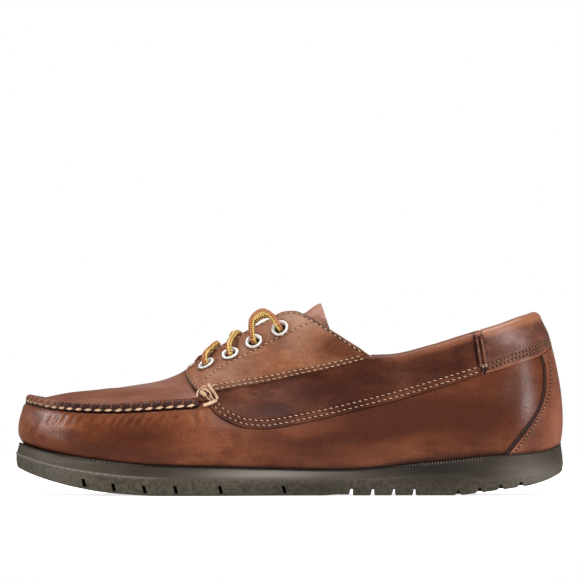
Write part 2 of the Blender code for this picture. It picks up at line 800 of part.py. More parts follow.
def eyelet_holes(group):
    """One cutter for all the eyelets' holes."""
    bm = bmesh.new()
    for spot in EYELETS:
        for side in (LATERAL, MEDIAL):
            made = bmesh.ops.create_cone(bm, cap_ends=True, segments=TURN_STEPS, radius1=EYELET_HOLE * MM,
                                         radius2=EYELET_HOLE * MM, depth=HOLE_DEPTH * MM)
            bmesh.ops.transform(bm, matrix=facing_frame(spot, side), verts=made["verts"])
    mesh = bpy.data.meshes.new("eyelet_holes")
    bm.to_mesh(mesh)
    bm.free()
    return cutter(add_object("eyelet_holes", mesh, None, group))


def eyelet(name, spot, side, look, parts):
    """A turned ring: a domed flange on the facing, and a barrel through the leather."""
    mesh = bpy.data.meshes.new(name)
    edges = [(k, (k + 1) % len(EYELET_PROFILE)) for k in range(len(EYELET_PROFILE))]
    mesh.from_pydata([(r * MM, 0, z * MM) for r, z in EYELET_PROFILE], edges, [])
    ring = add_object(name, mesh, look, parts)
    ring.matrix_world = facing_frame(spot, side)
    screw = ring.modifiers.new("turn", "SCREW")
    screw.steps = TURN_STEPS
    screw.render_steps = TURN_STEPS
    screw.use_merge_vertices = True
    screw.merge_threshold = MERGE


def tube(name, points, look, parts):
    curve = bpy.data.curves.new(name, "CURVE")
    curve.dimensions = "3D"
    curve.bevel_depth = LACE_DIAMETER / 2 * MM
    curve.bevel_resolution = 2
    curve.use_fill_caps = True
    line = curve.splines.new("POLY")
    line.points.add(len(points) - 1)
    for target, point in zip(line.points, points):
        target.co = (*point, 1.0)
    curve.materials.append(look)
    obj = bpy.data.objects.new(name, curve)
    parts.objects.link(obj)
    return obj


def smooth_route(points, steps):
    """Points on a curve through the route's own points."""
    ends = [points[0] * 2 - points[1], *points, points[-1] * 2 - points[-2]]
    made = []
    for i in range(1, len(ends) - 2):
        for j in range(steps):
            u = j / steps
            before = (ends[i + 1] - ends[i - 1]) / 2
            after = (ends[i + 2] - ends[i]) / 2
            a = ends[i] * (2 * u**3 - 3 * u**2 + 1) + before * (u**3 - 2 * u**2 + u)
            b = ends[i + 1] * (3 * u**2 - 2 * u**3) + after * (u**3 - u**2)
            made.append(a + b)
    return [*made, points[-1]]


def over_tongue(x, y, lift):
    """The lace's centre line where it lies on the tongue, or a lift above it."""
    z = tongue_top(x, abs(y)) + LACE_DIAMETER / 2 + LACE_LIFT + lift
    return Vector((x, centre(x)[1] + y, z)) * MM


def past_edge(x, side, on, beyond, out):
    """A point over the throat, just past the facing's edge."""
    (r, z), (nr, nz) = edge_point(x + on)
    return place(x + on, side, r - nz * beyond + nr * out, z + nr * beyond + nz * out)


def strand_start(spot, side, edge):
    """A lace's first points: out of its eyelet, and over the facing's edge."""
    made = [surface(spot.x, side, spot.below, FACING_FACE + STRAND_MOUTH)[0]]
    for step in STRAND_STEPS:
        made.append(surface(spot.x + step.on, side, spot.below - step.up, FACING_FACE + step.out)[0])
    return [*made, past_edge(spot.x, side, *edge)]


def crossing(side):
    """A strand of the second pair, from its eyelet to where it has crossed the other."""
    spot = EYELETS[1]
    across = [over_tongue(spot.x + row.on, side * row.y, row.lift) for row in CROSSINGS[side]]
    return [*strand_start(spot, side, STRAND_EDGE[side]), *across]


def loop_route(side):
    """The arch from the third eyelet's mouth to the fourth's."""
    ends = []
    for spot in EYELETS[2:]:
        mouth, way = surface(spot.x, side, spot.below, FACING_FACE + STRAND_MOUTH)
        ends.append([mouth, mouth + way * LOOP_LEAVE * MM])
    y = ends[0][0].y
    middle = [Vector((row.x * MM, y + side * row.out * MM, row.z * MM)) for row in ARCHES[side]]
    return [*ends[0], *middle, *reversed(ends[1])]


def lace(parts):
    look = material("lace", LACE_COLOUR, 0.7)
    start = strand_start(EYELETS[0], LATERAL, BAR_EDGE)
    finish = strand_start(EYELETS[0], MEDIAL, BAR_EDGE)
    middle = (start[-1] + finish[-1]) / 2 + Vector(BAR_MIDDLE) * MM
    tube("lace_bar", smooth_route([*start, middle, *reversed(finish)], 2), look, parts)
    strands = [tube("strand", smooth_route(crossing(side), 2), look, parts) for side in (LATERAL, MEDIAL)]
    join_tubes("lace_crossing", strands, parts)
    for side in (LATERAL, MEDIAL):
        tube("lace_loop_" + SIDE_NAMES[side], smooth_route(loop_route(side), 2), look, parts)


def join_tubes(name, tubes, parts):
    """One solid from tubes that cross."""
    graph = bpy.context.evaluated_depsgraph_get()
    made = []
    for obj in tubes:
        mesh = bpy.data.meshes.new_from_object(obj.evaluated_get(graph))
        bm = bmesh.new()
        bm.from_mesh(mesh)
        bmesh.ops.remove_doubles(bm, verts=bm.verts, dist=MERGE)
        bm.to_mesh(mesh)
        bm.free()
        made.append(mesh)
        bpy.data.objects.remove(obj, do_unlink=True)
    body = add_object(name, made[0], None, parts)
    other = cutter(add_object(name + "_second", made[1], None, bpy.data.collections["cutters"]))
    cut(body, other, "UNION")


# Tongue


def inner_height(x, side, r):
    """The upper's inner face over a point of the tongue, or nothing inside the throat."""
    inner = inner_rows(x, side)[:-2]
    for (r0, z0), (r1, z1) in zip(inner, inner[1:]):
        if r0 <= r <= r1:
            return z0 + (z1 - z0) * (r - r0) / (r1 - r0)
    return None


def tongue_half(x, side):
    """Half the tongue's width, less where the wall inside is close."""
    level = along(TONGUE, "crown", x) - TONGUE_DROP
    inner = inner_rows(x, side)
    halves = [along(TONGUE, "half", x)]
    for (r0, z0), (r1, z1) in zip(inner, inner[1:]):
        if z0 >= level > z1:
            halves.append(r0 + (r1 - r0) * (z0 - level) / (z0 - z1) - TONGUE_CLEAR / 2)
    return min(halves)


def tongue_top(x, r):
    crown = along(TONGUE, "crown", x)
    bend = along(TONGUE, "radius", x)
    z = crown - (bend - math.sqrt(max(bend**2 - r**2, 0.0)))
    limits = [inner_height(x, side, max(r, 0.01)) for side in (LATERAL, MEDIAL)]
    return min([z, *[limit - TONGUE_CLEAR for limit in limits if limit is not None]])


def tongue(parts):
    net = Net()
    rings = []
    for x in TONGUE_STATIONS:
        half = {-1: tongue_half(x, LATERAL), 1: tongue_half(x, MEDIAL)}
        crown = tongue_top(x, 0)
        tilt = along(TONGUE, "tilt", x)
        across = [half[1 if k > 0 else -1] * k for k in TONGUE_SHARES]
        top = [(y, tongue_top(x, abs(y))) for y in across]
        top = [(x + tilt * (crown - z), centre(x)[1] + y, z) for y, z in top]
        under = [(px, py * UNDER_NARROW, pz - TONGUE_THICK) for px, py, pz in reversed(top)]
        rings.append([net.free(p) for p in [*top, *under]])
    for first, second in zip(rings, rings[1:]):
        net.strip(first, second, ring=True)
    for line in (rings[0], rings[-1]):
        for k in range(len(TONGUE_SHARES) - 1):
            net.cap([line[k], line[k + 1], line[-2 - k], line[-1 - k]])
    net.finish("tongue", material("tongue_leather", LEATHER, LEATHER_ROUGH), parts)


def main():
    remove_objects()
    parts = collection("camp_moccasin")
    cutters = collection("cutters")
    holes = eyelet_holes(cutters)
    outsole(parts, cutters)
    insole(parts)
    upper(parts, holes)
    tongue(parts)
    for side in (LATERAL, MEDIAL):
        facing(side, parts, cutters, holes)
        side_tab(side, parts, cutters)
    heel_band(parts, cutters)
    heel_counter(parts, cutters)
    metal = material("eyelet_metal", METAL, 0.3, 0.9)
    for side in (LATERAL, MEDIAL):
        for number, spot in enumerate(EYELETS, 1):
            eyelet(f"eyelet_{SIDE_NAMES[side]}_{number}", spot, side, metal, parts)
    lace(parts)


main()
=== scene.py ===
import math
from collections import namedtuple

import bpy
import numpy as np
from mathutils import Matrix, Vector


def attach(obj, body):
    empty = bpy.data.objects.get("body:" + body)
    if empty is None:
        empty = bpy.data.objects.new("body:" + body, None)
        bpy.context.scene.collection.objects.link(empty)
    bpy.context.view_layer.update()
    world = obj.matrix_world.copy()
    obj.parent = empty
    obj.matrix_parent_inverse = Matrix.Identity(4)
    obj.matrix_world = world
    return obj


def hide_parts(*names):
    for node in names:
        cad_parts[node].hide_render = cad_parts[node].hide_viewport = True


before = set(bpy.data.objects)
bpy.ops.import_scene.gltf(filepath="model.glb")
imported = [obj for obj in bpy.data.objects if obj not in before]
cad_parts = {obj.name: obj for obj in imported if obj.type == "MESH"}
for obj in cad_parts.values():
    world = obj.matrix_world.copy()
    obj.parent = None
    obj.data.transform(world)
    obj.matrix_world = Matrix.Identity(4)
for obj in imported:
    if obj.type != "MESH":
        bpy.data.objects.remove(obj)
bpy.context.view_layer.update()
scene = bpy.context.scene
mm = 0.001
lateral, medial = -1, 1
sideNames = {lateral: "lateral", medial: "medial"}
bothSides = tuple(sideNames)

print("camera")

cameraLook = {"distance": 6.0, "height": 0.1121, "aside": 0.0003, "lens": 679.0}


def addCamera():
    bpy.ops.object.camera_add(location=(cameraLook["aside"], -cameraLook["distance"], cameraLook["height"]),
                              rotation=(math.radians(90), 0, 0))
    camera = bpy.context.active_object
    camera.name = "camera"
    camera.data.lens = cameraLook["lens"]
    camera.data.sensor_width = 36
    camera.data.clip_end = 60
    camera.data.dof.use_dof = False
    scene.camera = camera


addCamera()


# Working by hand: selecting, modifiers, joining

def deselect():
    bpy.ops.object.select_all(action="DESELECT")


def activate(obj):
    deselect()
    obj.select_set(True)
    bpy.context.view_layer.objects.active = obj


def setting(obj, kind, **values):
    # adds one modifier and applies it
    activate(obj)
    added = obj.modifiers.new(kind.lower(), kind)
    for key, value in values.items():
        setattr(added, key, value)
    bpy.ops.object.modifier_apply(modifier=added.name)


def smooth(obj, angle):
    activate(obj)
    bpy.ops.object.shade_smooth_by_angle(angle=math.radians(angle))


def editAll(obj):
    activate(obj)
    bpy.ops.object.mode_set(mode="EDIT")
    bpy.ops.mesh.select_all(action="SELECT")


def mergePoints(obj, distance=0.02, closed=True):
    editAll(obj)
    bpy.ops.mesh.remove_doubles(threshold=distance * mm)
    if closed:
        bpy.ops.mesh.normals_make_consistent(inside=False)
    bpy.ops.object.mode_set(mode="OBJECT")


def thicken(obj, thick, edge):
    setting(obj, "SOLIDIFY", thickness=thick * mm, offset=-1.0)
    if edge:
        setting(obj, "BEVEL", width=edge * mm, segments=2, limit_method="ANGLE", angle_limit=math.radians(60))
    smooth(obj, 50)


def discard(obj):
    bpy.data.objects.remove(obj, do_unlink=True)


def joined(name, pieces):
    deselect()
    for piece in pieces:
        piece.select_set(True)
    bpy.context.view_layer.objects.active = pieces[0]
    if len(pieces) > 1:
        bpy.ops.object.join()
    obj = bpy.context.active_object
    obj.name = obj.data.name = name
    return obj


def copies(name, model, matrices):
    # the shape that was modelled once, at each place with its own mesh, as one piece
    made = []
    for matrix in matrices:
        copy = model.copy()
        copy.data = model.data.copy()
        copy.matrix_world = matrix
        scene.collection.objects.link(copy)
        made.append(copy)
    obj = joined(name, made)
    bpy.ops.object.transform_apply(location=True, rotation=True, scale=True)
    return obj


def hand(obj, look, slotName, *nodes):
    # gives a finished piece its material and its body, and hides the model's parts that it stands for
    obj.data.materials.clear()
    obj.data.materials.append(look)
    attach(obj, "root")
    if nodes:
        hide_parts(*nodes)


# The last: the tables that the shoe is built on, in millimetres. s is the place along the shoe.

def rowsOf(columns, *rows):
    # a short table with named columns
    row = namedtuple("Row", columns)
    return [row(*values) for values in rows]


planRows = rowsOf(
    "s spine lateral medial",
    (-150, 5.8, 52.0, 52.0), (-137, 5.8, 50.0, 50.0), (-124, 5.8, 48.3, 46.8),
    (-111, 5.8, 49.8, 45.3), (-98, 5.8, 52.0, 46.0), (-80, 5.0, 56.3, 48.3),
    (-60, 4.3, 57.5, 47.3), (-45, 4.0, 56.4, 43.8), (-30, 3.8, 52.5, 39.5),
    (-10, 3.8, 46.8, 34.0), (10, 3.5, 42.7, 31.6), (30, 2.8, 40.0, 31.0),
    (60, 2.3, 37.8, 32.7), (90, 1.8, 37.0, 36.0), (112, 1.8, 37.2, 36.5),
    (131, 1.8, 37.5, 37.2), (150, 1.8, 38.0, 38.0))

heightRows = rowsOf(
    "s bottom ledge",
    (-158, 19.0, 31.0), (-146, 13.6, 27.5), (-138, 10.3, 25.2), (-128, 7.2, 22.9),
    (-115, 4.2, 20.6), (-102, 2.0, 18.9), (-88, 0.7, 17.3), (-72, 0.0, 16.4),
    (-42, 0.0, 15.5), (-3, 0.0, 14.4), (18, 0.0, 13.9), (26, 0.5, 13.9),
    (33, 0.5, 14.0), (35, 0.0, 14.1), (46, 0.0, 14.8), (63, 0.0, 16.5),
    (90, 0.0, 18.9), (103, 1.4, 20.4), (112, 2.6, 21.3), (122, 4.0, 22.4),
    (131, 5.4, 23.2), (139, 7.6, 24.3), (147, 11.4, 27.2), (158, 17.0, 31.0))

wallRows = rowsOf(
    "s bulgeIn bulgeUp seamIn seamZ fold rise",
    (-150, 1.1, 6.6, 5.8, 51.2, 1.0, 8), (-137, 1.1, 7.0, 5.3, 50.0, 1.0, 12),
    (-124, 1.1, 8.0, 4.8, 47.8, 1.0, 24), (-98, 1.0, 9.0, 4.5, 46.2, 1.0, 38),
    (-62, 1.0, 9.0, 5.0, 48.2, 1.0, 42), (-50, 1.0, 9.5, 5.5, 49.0, 1.0, 48),
    (-43, 1.0, 10.0, 6.0, 49.6, 0.0, 60), (0, 1.6, 11.0, 7.0, 52.0, 0.0, 60),
    (40, 1.8, 12.0, 5.5, 54.0, 0.0, 60), (90, 1.6, 12.5, 4.5, 57.0, 0.0, 60),
    (150, 1.8, 13.0, 3.2, 59.0, 0.0, 60))

topRows = rowsOf(
    "s edgeR edgeZ lean roll",
    (-150, 0.0, 58.3, 82.6, 1.1), (-124, 0.0, 58.3, 84.8, 1.1), (-98, 0.0, 58.3, 90, 1.1),
    (-85, 0.0, 59.9, 90, 1.1), (-72, 0.0, 62.1, 90, 1.1), (-61, 0.0, 66.0, 90, 1.1),
    (-57.5, 8.5, 68.0, 78, 1.1), (-53, 10.8, 71.0, 70, 1.1), (-48, 11.6, 74.2, 63, 1.1),
    (-36, 12.0, 81.3, 54, 1.1), (-26, 12.0, 87.2, 50, 1.1), (-10, 12.5, 95.8, 47, 1.1),
    (-2, 13.6, 99.9, 44, 1.1), (3, 15.2, 100.3, 41, 1.1), (9, 18.0, 98.2, 36, 1.2),
    (22, 24.0, 90.7, 27, 1.8), (38, 28.6, 80.6, 20, 2.4), (46, 29.6, 75.9, 18, 2.6),
    (54, 29.8, 76.1, 17, 2.8), (78, 28.0, 81.4, 17, 3.4), (95, 26.6, 86.7, 17, 3.6),
    (112, 24.8, 91.8, 18, 3.6), (131, 22.8, 97.5, 19, 3.6), (150, 21.9, 99.5, 19, 3.6))

tongueRows = rowsOf(
    "s crown half bend tilt",
    (-68, 58.5, 15.0, 60, 0.0), (-58, 62.5, 18.0, 55, 0.0), (-46, 70.5, 20.0, 48, 0.05),
    (-26, 82.3, 21.0, 40, 0.15), (-10, 90.3, 21.5, 34, 0.25), (0, 95.0, 22.0, 30, 0.32),
    (9, 99.9, 22.5, 27, 0.36), (17, 104.8, 22.5, 26, 0.37))

last = {"toeTip": -150.0, "toeCentre": -98.0, "heelCentre": 112.0, "heelBack": 150.0, "footIn": 3.2,
        "toeFootIn": 1.0, "gap": 0.3, "wall": 2.2, "margin": 7.0, "closedTo": -61.0, "insole": 3.0}


def along(table, column, s):
    # one column of a table at s, by a cubic that never passes its rows
    xs = np.array([row.s for row in table], float)
    ys = np.array([getattr(row, column) for row in table], float)
    steps = np.diff(xs)
    rises = np.diff(ys) / steps
    slopes = np.zeros(len(xs))
    before = 2 * steps[1:] + steps[:-1]
    after = steps[1:] + 2 * steps[:-1]
    level = rises[:-1] * rises[1:] <= 0
    low = np.where(level, 1.0, rises[:-1])
    high = np.where(level, 1.0, rises[1:])
    slopes[1:-1] = np.where(level, 0.0, (before + after) / (before / low + after / high))
    s = np.clip(s, xs[0], xs[-1])
    i = np.clip(np.searchsorted(xs, s, side="right") - 1, 0, len(xs) - 2)
    u = (s - xs[i]) / steps[i]
    rise = ys[i + 1] - ys[i]
    start = slopes[i] * steps[i]
    end = slopes[i + 1] * steps[i]
    return ys[i] + u * (start + u * (3 * rise - 2 * start - end + u * (start + end - 2 * rise)))


def ringAt(s, side):
    # a place round the shoe as one number: 0 at the heel's back, 300 at the toe's tip
    return 150.0 - s if side == lateral else 450.0 + s


def station(q):
    q = np.mod(q, 600)
    return np.where(q <= 300, 150 - q, q - 450)


def ease(u):
    u = np.clip(u, 0, 1)
    return u * u * (3 - 2 * u)


def bump(x, width):
    return np.exp(-((x / width) ** 2))


def hermite(p0, t0, p1, t1, u):
    return ((2 * u**3 - 3 * u**2 + 1) * p0 + (u**3 - 2 * u**2 + u) * t0
            + (3 * u**2 - 2 * u**3) * p1 + (u**3 - u**2) * t1)


class Section:
    # the shoe's section at each ring place of an array
    def __init__(self, q):
        q = np.mod(np.asarray(q, float), 600)
        self.s = station(q)
        side = np.where(q <= 300, lateral, medial)
        toe = np.clip((last["toeCentre"] - self.s) / (last["toeCentre"] - last["toeTip"]), 0, 1)
        heel = np.clip((self.s - last["heelCentre"]) / (last["heelBack"] - last["heelCentre"]), 0, 1)
        turn = np.radians(90 * np.maximum(toe, heel))
        self.toe, self.heel = toe, heel
        self.dx = np.sin(turn) * np.where(self.s > 0, 1, -1)
        self.dy = np.cos(turn) * side
        self.x = np.clip(self.s, last["toeCentre"], last["heelCentre"])
        self.y = along(planRows, "spine", self.x)
        self.radius = np.where(side == lateral, along(planRows, "lateral", self.s),
                               along(planRows, "medial", self.s))
        self.footR = self.radius - last["footIn"] - last["toeFootIn"] * toe
        self.footZ = self.ledge(self.footR) + last["gap"]
        self.fullR = self.radius - along(wallRows, "bulgeIn", self.s)
        self.fullZ = self.ledge(self.fullR) + along(wallRows, "bulgeUp", self.s)
        self.seamR = self.radius - along(wallRows, "seamIn", self.s)
        self.seamZ = along(wallRows, "seamZ", self.s)
        self.fold = along(wallRows, "fold", self.s)
        lean = np.radians(along(topRows, "lean", self.s))
        self.outR, self.outZ = np.cos(lean), np.sin(lean)
        self.roll = along(topRows, "roll", self.s)
        edgeR, edgeZ = along(topRows, "edgeR", self.s), along(topRows, "edgeZ", self.s)
        closed = self.s <= last["closedTo"]
        self.topR = np.where(closed, 0, edgeR + self.roll * self.outR)
        self.topZ = np.where(closed, edgeZ, edgeZ - self.roll + self.roll * self.outZ)

    def ledge(self, r):
        return along(heightRows, "ledge", self.x + self.dx * r)

    def bottom(self, r):
        return along(heightRows, "bottom", self.x + self.dx * r)

    def outward(self, v):
        return np.stack([self.dx + 0 * v, self.dy + 0 * v, 0 * v], -1)

    def profile(self, v):
        # the upper's outer face: 0 at its foot, 1 at its fullest, 2 at the seam, 3 at the top
        v = np.asarray(v, float)
        low, mid, top = np.clip(v, 0, 1), np.clip(v - 1, 0, 1), np.clip(v - 2, 0, 1)
        steep = np.arctan2(self.seamZ - self.fullZ, 2 * (self.fullR - self.seamR))
        rise = (1 - self.fold) * steep + self.fold * np.radians(along(wallRows, "rise", self.s))
        chord = np.hypot(self.seamR - self.topR, self.seamZ - self.topZ)
        leave = chord * (1 - 0.5 * self.fold)
        arrive = chord * (1 + 0.12 * self.fold)
        topR = hermite(self.seamR, -np.cos(rise) * leave, self.topR, -self.outZ * arrive, top)
        topZ = hermite(self.seamZ, np.sin(rise) * leave, self.topZ, self.outR * arrive, top)
        lowR = self.fullR - (self.fullR - self.footR) * (1 - low) ** 2
        lowZ = self.footZ + (self.fullZ - self.footZ) * low
        midR = self.fullR - (self.fullR - self.seamR) * mid**2
        midZ = self.fullZ + (self.seamZ - self.fullZ) * mid
        r = np.where(v <= 1, lowR, np.where(v <= 2, midR, topR))
        z = np.where(v <= 1, lowZ, np.where(v <= 2, midZ, topZ))
        return r, z

    def place(self, r, z):
        return np.stack(np.broadcast_arrays(self.x + self.dx * r, self.y + self.dy * r, z), -1)


def onSkin(q, v):
    section = Section(q)
    return section.place(*section.profile(v))


def unit(vectors):
    return vectors / np.maximum(np.linalg.norm(vectors, axis=-1, keepdims=True), 1e-12)


def skinNormal(q, v):
    v = np.minimum(v, np.where(station(q) < last["closedTo"], 2.94, 2.985))
    across = onSkin(np.asarray(q) + 0.5, v) - onSkin(np.asarray(q) - 0.5, v)
    up = onSkin(q, v + 0.012) - onSkin(q, v - 0.012)
    return unit(np.cross(up, across))


def pushed(places, q, v, out):
    # places moved out along the skin's own direction
    return places + skinNormal(q, v) * np.asarray(out, float)[..., None]


def skin(q, v, out):
    return pushed(onSkin(q, v), q, v, out)


def rollEdge(q, angle, out=0.0):
    # over the rounded top edge: 0 degrees on the outer face, 180 on the inner
    section = Section(q)
    turn = np.radians(angle)
    reach = section.roll + out
    middleR = section.topR - section.roll * section.outR
    middleZ = section.topZ - section.roll * section.outZ
    r = middleR + reach * (np.cos(turn) * section.outR - np.sin(turn) * section.outZ)
    z = middleZ + reach * (np.cos(turn) * section.outZ + np.sin(turn) * section.outR)
    return section.place(r, z)


def innerFace(q, v, more=0.0):
    # the wall's inner face, thicker where the collar is padded
    share = np.clip(np.asarray(v, float) - 2, 0, 1)
    thick = last["wall"] + (2 * along(topRows, "roll", station(q)) - last["wall"]) * share**2
    return skin(q, v, -thick - more)


seatHeights = np.linspace(0, 3, 181)
seatTables = {}


def seat(points, side, out=0.0):
    # ring place and height share of points that are given from the side as x and z
    key = (side, out)
    if key not in seatTables:
        q = np.arange(0, 301.0, 1.5) + (0 if side == lateral else 300)
        seatTables[key] = (q, skin(q[:, None], seatHeights[None, :], out))
    q, table = seatTables[key]
    xs, zs = table[..., 0], table[..., 2]
    rows = np.arange(len(q))
    found = []
    for x, z in points:
        k = np.clip((zs < z).sum(axis=1), 1, len(seatHeights) - 1)
        share = np.clip((z - zs[rows, k - 1]) / np.maximum(zs[rows, k] - zs[rows, k - 1], 1e-6), 0, 1)
        there = xs[rows, k - 1] + share * (xs[rows, k] - xs[rows, k - 1])
        heights = seatHeights[k - 1] + share * (seatHeights[1] - seatHeights[0])
        order = slice(None, None, -1) if side == lateral else slice(None)
        place = np.interp(x, there[order], q[order])
        found.append((place, np.interp(place, q, heights)))
    return np.array(found)


def runAlong(points):
    return np.concatenate([[0], np.cumsum(np.linalg.norm(np.diff(points, axis=0), axis=1))])


def evenly(points, step):
    lengths = runAlong(points)
    count = max(int(round(lengths[-1] / step)), 1)
    at = np.linspace(0, lengths[-1], count + 1)
    return np.stack([np.interp(at, lengths, points[:, k]) for k in range(points.shape[1])], -1)


def smoothLine(points, step=0.5):
    # an evenly spaced curve through the given points
    points = np.asarray(points, float)
    ends = np.vstack([2 * points[0] - points[1], points, 2 * points[-1] - points[-2]])
    made = []
    for i in range(1, len(ends) - 2):
        u = np.linspace(0, 1, 24, endpoint=False)[:, None]
        made.append(hermite(ends[i], (ends[i + 1] - ends[i - 1]) / 2, ends[i + 1], (ends[i + 2] - ends[i]) / 2, u))
    return evenly(np.vstack([*made, points[-1:]]), step)


def beside(points, offset):
    # a side-view curve moved sideways: up for a positive offset, where it runs to the heel
    line = smoothLine(points, 1.0)
    way = unit(np.gradient(line, axis=0))
    return line + offset * np.stack([-way[:, 1], way[:, 0]], -1)


def laid(points, side, out, step=0.4):
    # a side-view curve laid on the upper, with the way out at each point
    line = seat(smoothLine(points, step), side, out)
    return skin(*line.T, out), skinNormal(*line.T)


# Sheets and tubes

# the painted tones of each point: lighter tone with painted highlights, darker tone with painted shade, a painted
# grey sheen, painted shade in grooves, holes and gaps together with dark cut edges, the sole's coarse mottle, and a
# strand's length
toneNames = ("glow", "shade", "bloom", "crevice", "coarse", "long")


def shares(columns, rows):
    return np.meshgrid(np.linspace(0, 1, columns + 1), np.linspace(0, 1, rows + 1), indexing="ij")


def gridPiece(name, lattice, tones=None, facing="out"):
    # a grid primitive whose points take a lattice's places; its UV map stays
    columns, rows = lattice.shape[0] - 1, lattice.shape[1] - 1
    deselect()
    bpy.ops.mesh.primitive_grid_add(x_subdivisions=columns, y_subdivisions=rows, size=1, calc_uvs=True)
    obj = bpy.context.active_object
    obj.name = obj.data.name = name
    flat = np.empty(len(obj.data.vertices) * 3)
    obj.data.vertices.foreach_get("co", flat)
    where = np.rint((flat.reshape(-1, 3)[:, :2] + 0.5) * (columns, rows)).astype(int)
    obj.data.vertices.foreach_set("co", (lattice[where[:, 0], where[:, 1]] * mm).ravel())
    for key in toneNames:
        values = np.broadcast_to((tones or {}).get(key, 0.0), lattice.shape[:2])[where[:, 0], where[:, 1]]
        obj.data.attributes.new(key, "FLOAT", "POINT").data.foreach_set("value", values.astype(np.float32))
    if facing:
        corner = lattice[:-1, :-1]
        normals = np.cross(lattice[1:, :-1] - corner, lattice[:-1, 1:] - corner)
        axis = np.stack([np.clip(corner[..., 0], -98, 112), 0 * corner[..., 1] + 4, 0 * corner[..., 2] + 36], -1)
        outward = np.sum(normals * (corner - axis)) > 0
        if outward != (facing == "out"):
            obj.data.flip_normals()
    obj.data.update()
    return obj


def carried(path):
    # the way along a path, and two ways across it that don't spin
    way = unit(np.gradient(path, axis=0))
    first = np.cross(way[0], (0.0, 1.0, 0.0))
    across = [first / np.linalg.norm(first)]
    for ahead in way[1:]:
        turned = across[-1] - ahead * (across[-1] @ ahead)
        across.append(turned / np.linalg.norm(turned))
    across = np.array(across)
    return way, across, np.cross(way, across)


def tubePiece(name, path, wide, tall=None, around=20, turn=0.0, normals=None):
    # a strand along a path, with rounded ends; with normals it lies flat on a surface
    way, across, up = carried(path)
    if normals is not None:
        up = unit(normals)
        across = unit(np.cross(up, way))
    run = runAlong(path)
    end = np.clip(np.minimum(run, run[-1] - run) / (wide / 2), 0, 1)
    size = np.sqrt(1 - (1 - end) ** 2)[:, None]
    angle = np.radians(turn) + np.linspace(0, 2 * np.pi, around + 1)
    ringX, ringY = np.cos(angle) * wide / 2, np.sin(angle) * (tall or wide) / 2
    lattice = path[:, None] + across[:, None] * (size * ringX)[..., None] + up[:, None] * (size * ringY)[..., None]
    piece = gridPiece(name, lattice, {"long": run[-1]}, facing=None)
    mergePoints(piece, 0.01)
    smooth(piece, 60)
    return piece


def between(low, high, u, v):
    # ring place and height share on a patch between two curves of them
    start = np.stack([np.interp(u, np.linspace(0, 1, len(low)), low[:, k]) for k in (0, 1)], -1)
    end = np.stack([np.interp(u, np.linspace(0, 1, len(high)), high[:, k]) for k in (0, 1)], -1)
    patch = start + (end - start) * v[..., None]
    return patch[..., 0], patch[..., 1]


def nearness(points, line, width):
    # 1 on a line, falling to 0 a width or two away
    flat = points.reshape(-1, 3)
    near = np.full(len(flat), 1e9)
    box = np.all((flat > line.min(axis=0) - 3 * width) & (flat < line.max(axis=0) + 3 * width), axis=1)
    for start in range(0, len(line), 100):
        gaps = flat[box][:, None, :] - line[None, start : start + 100, :]
        near[box] = np.minimum(near[box], np.einsum("ijk,ijk->ij", gaps, gaps).min(axis=1))
    return np.exp(-near / width**2).reshape(points.shape[:-1])


def patches(places, spots):
    # soft patches placed from the side: x, z, half length, half height, strength
    tone = 0
    for x, z, long, high, strength in spots:
        tone = tone + strength * np.exp(-(((places[..., 0] - x) / long) ** 2) - ((places[..., 2] - z) / high) ** 2)
    return np.clip(tone, 0, 1)


def toned(places, tones):
    return {key: patches(places, spots) for key, spots in tones.items()}


def swapped(places, where, others):
    # the places, with the others where it holds
    return np.where(where[..., None], others, places)


# Node work

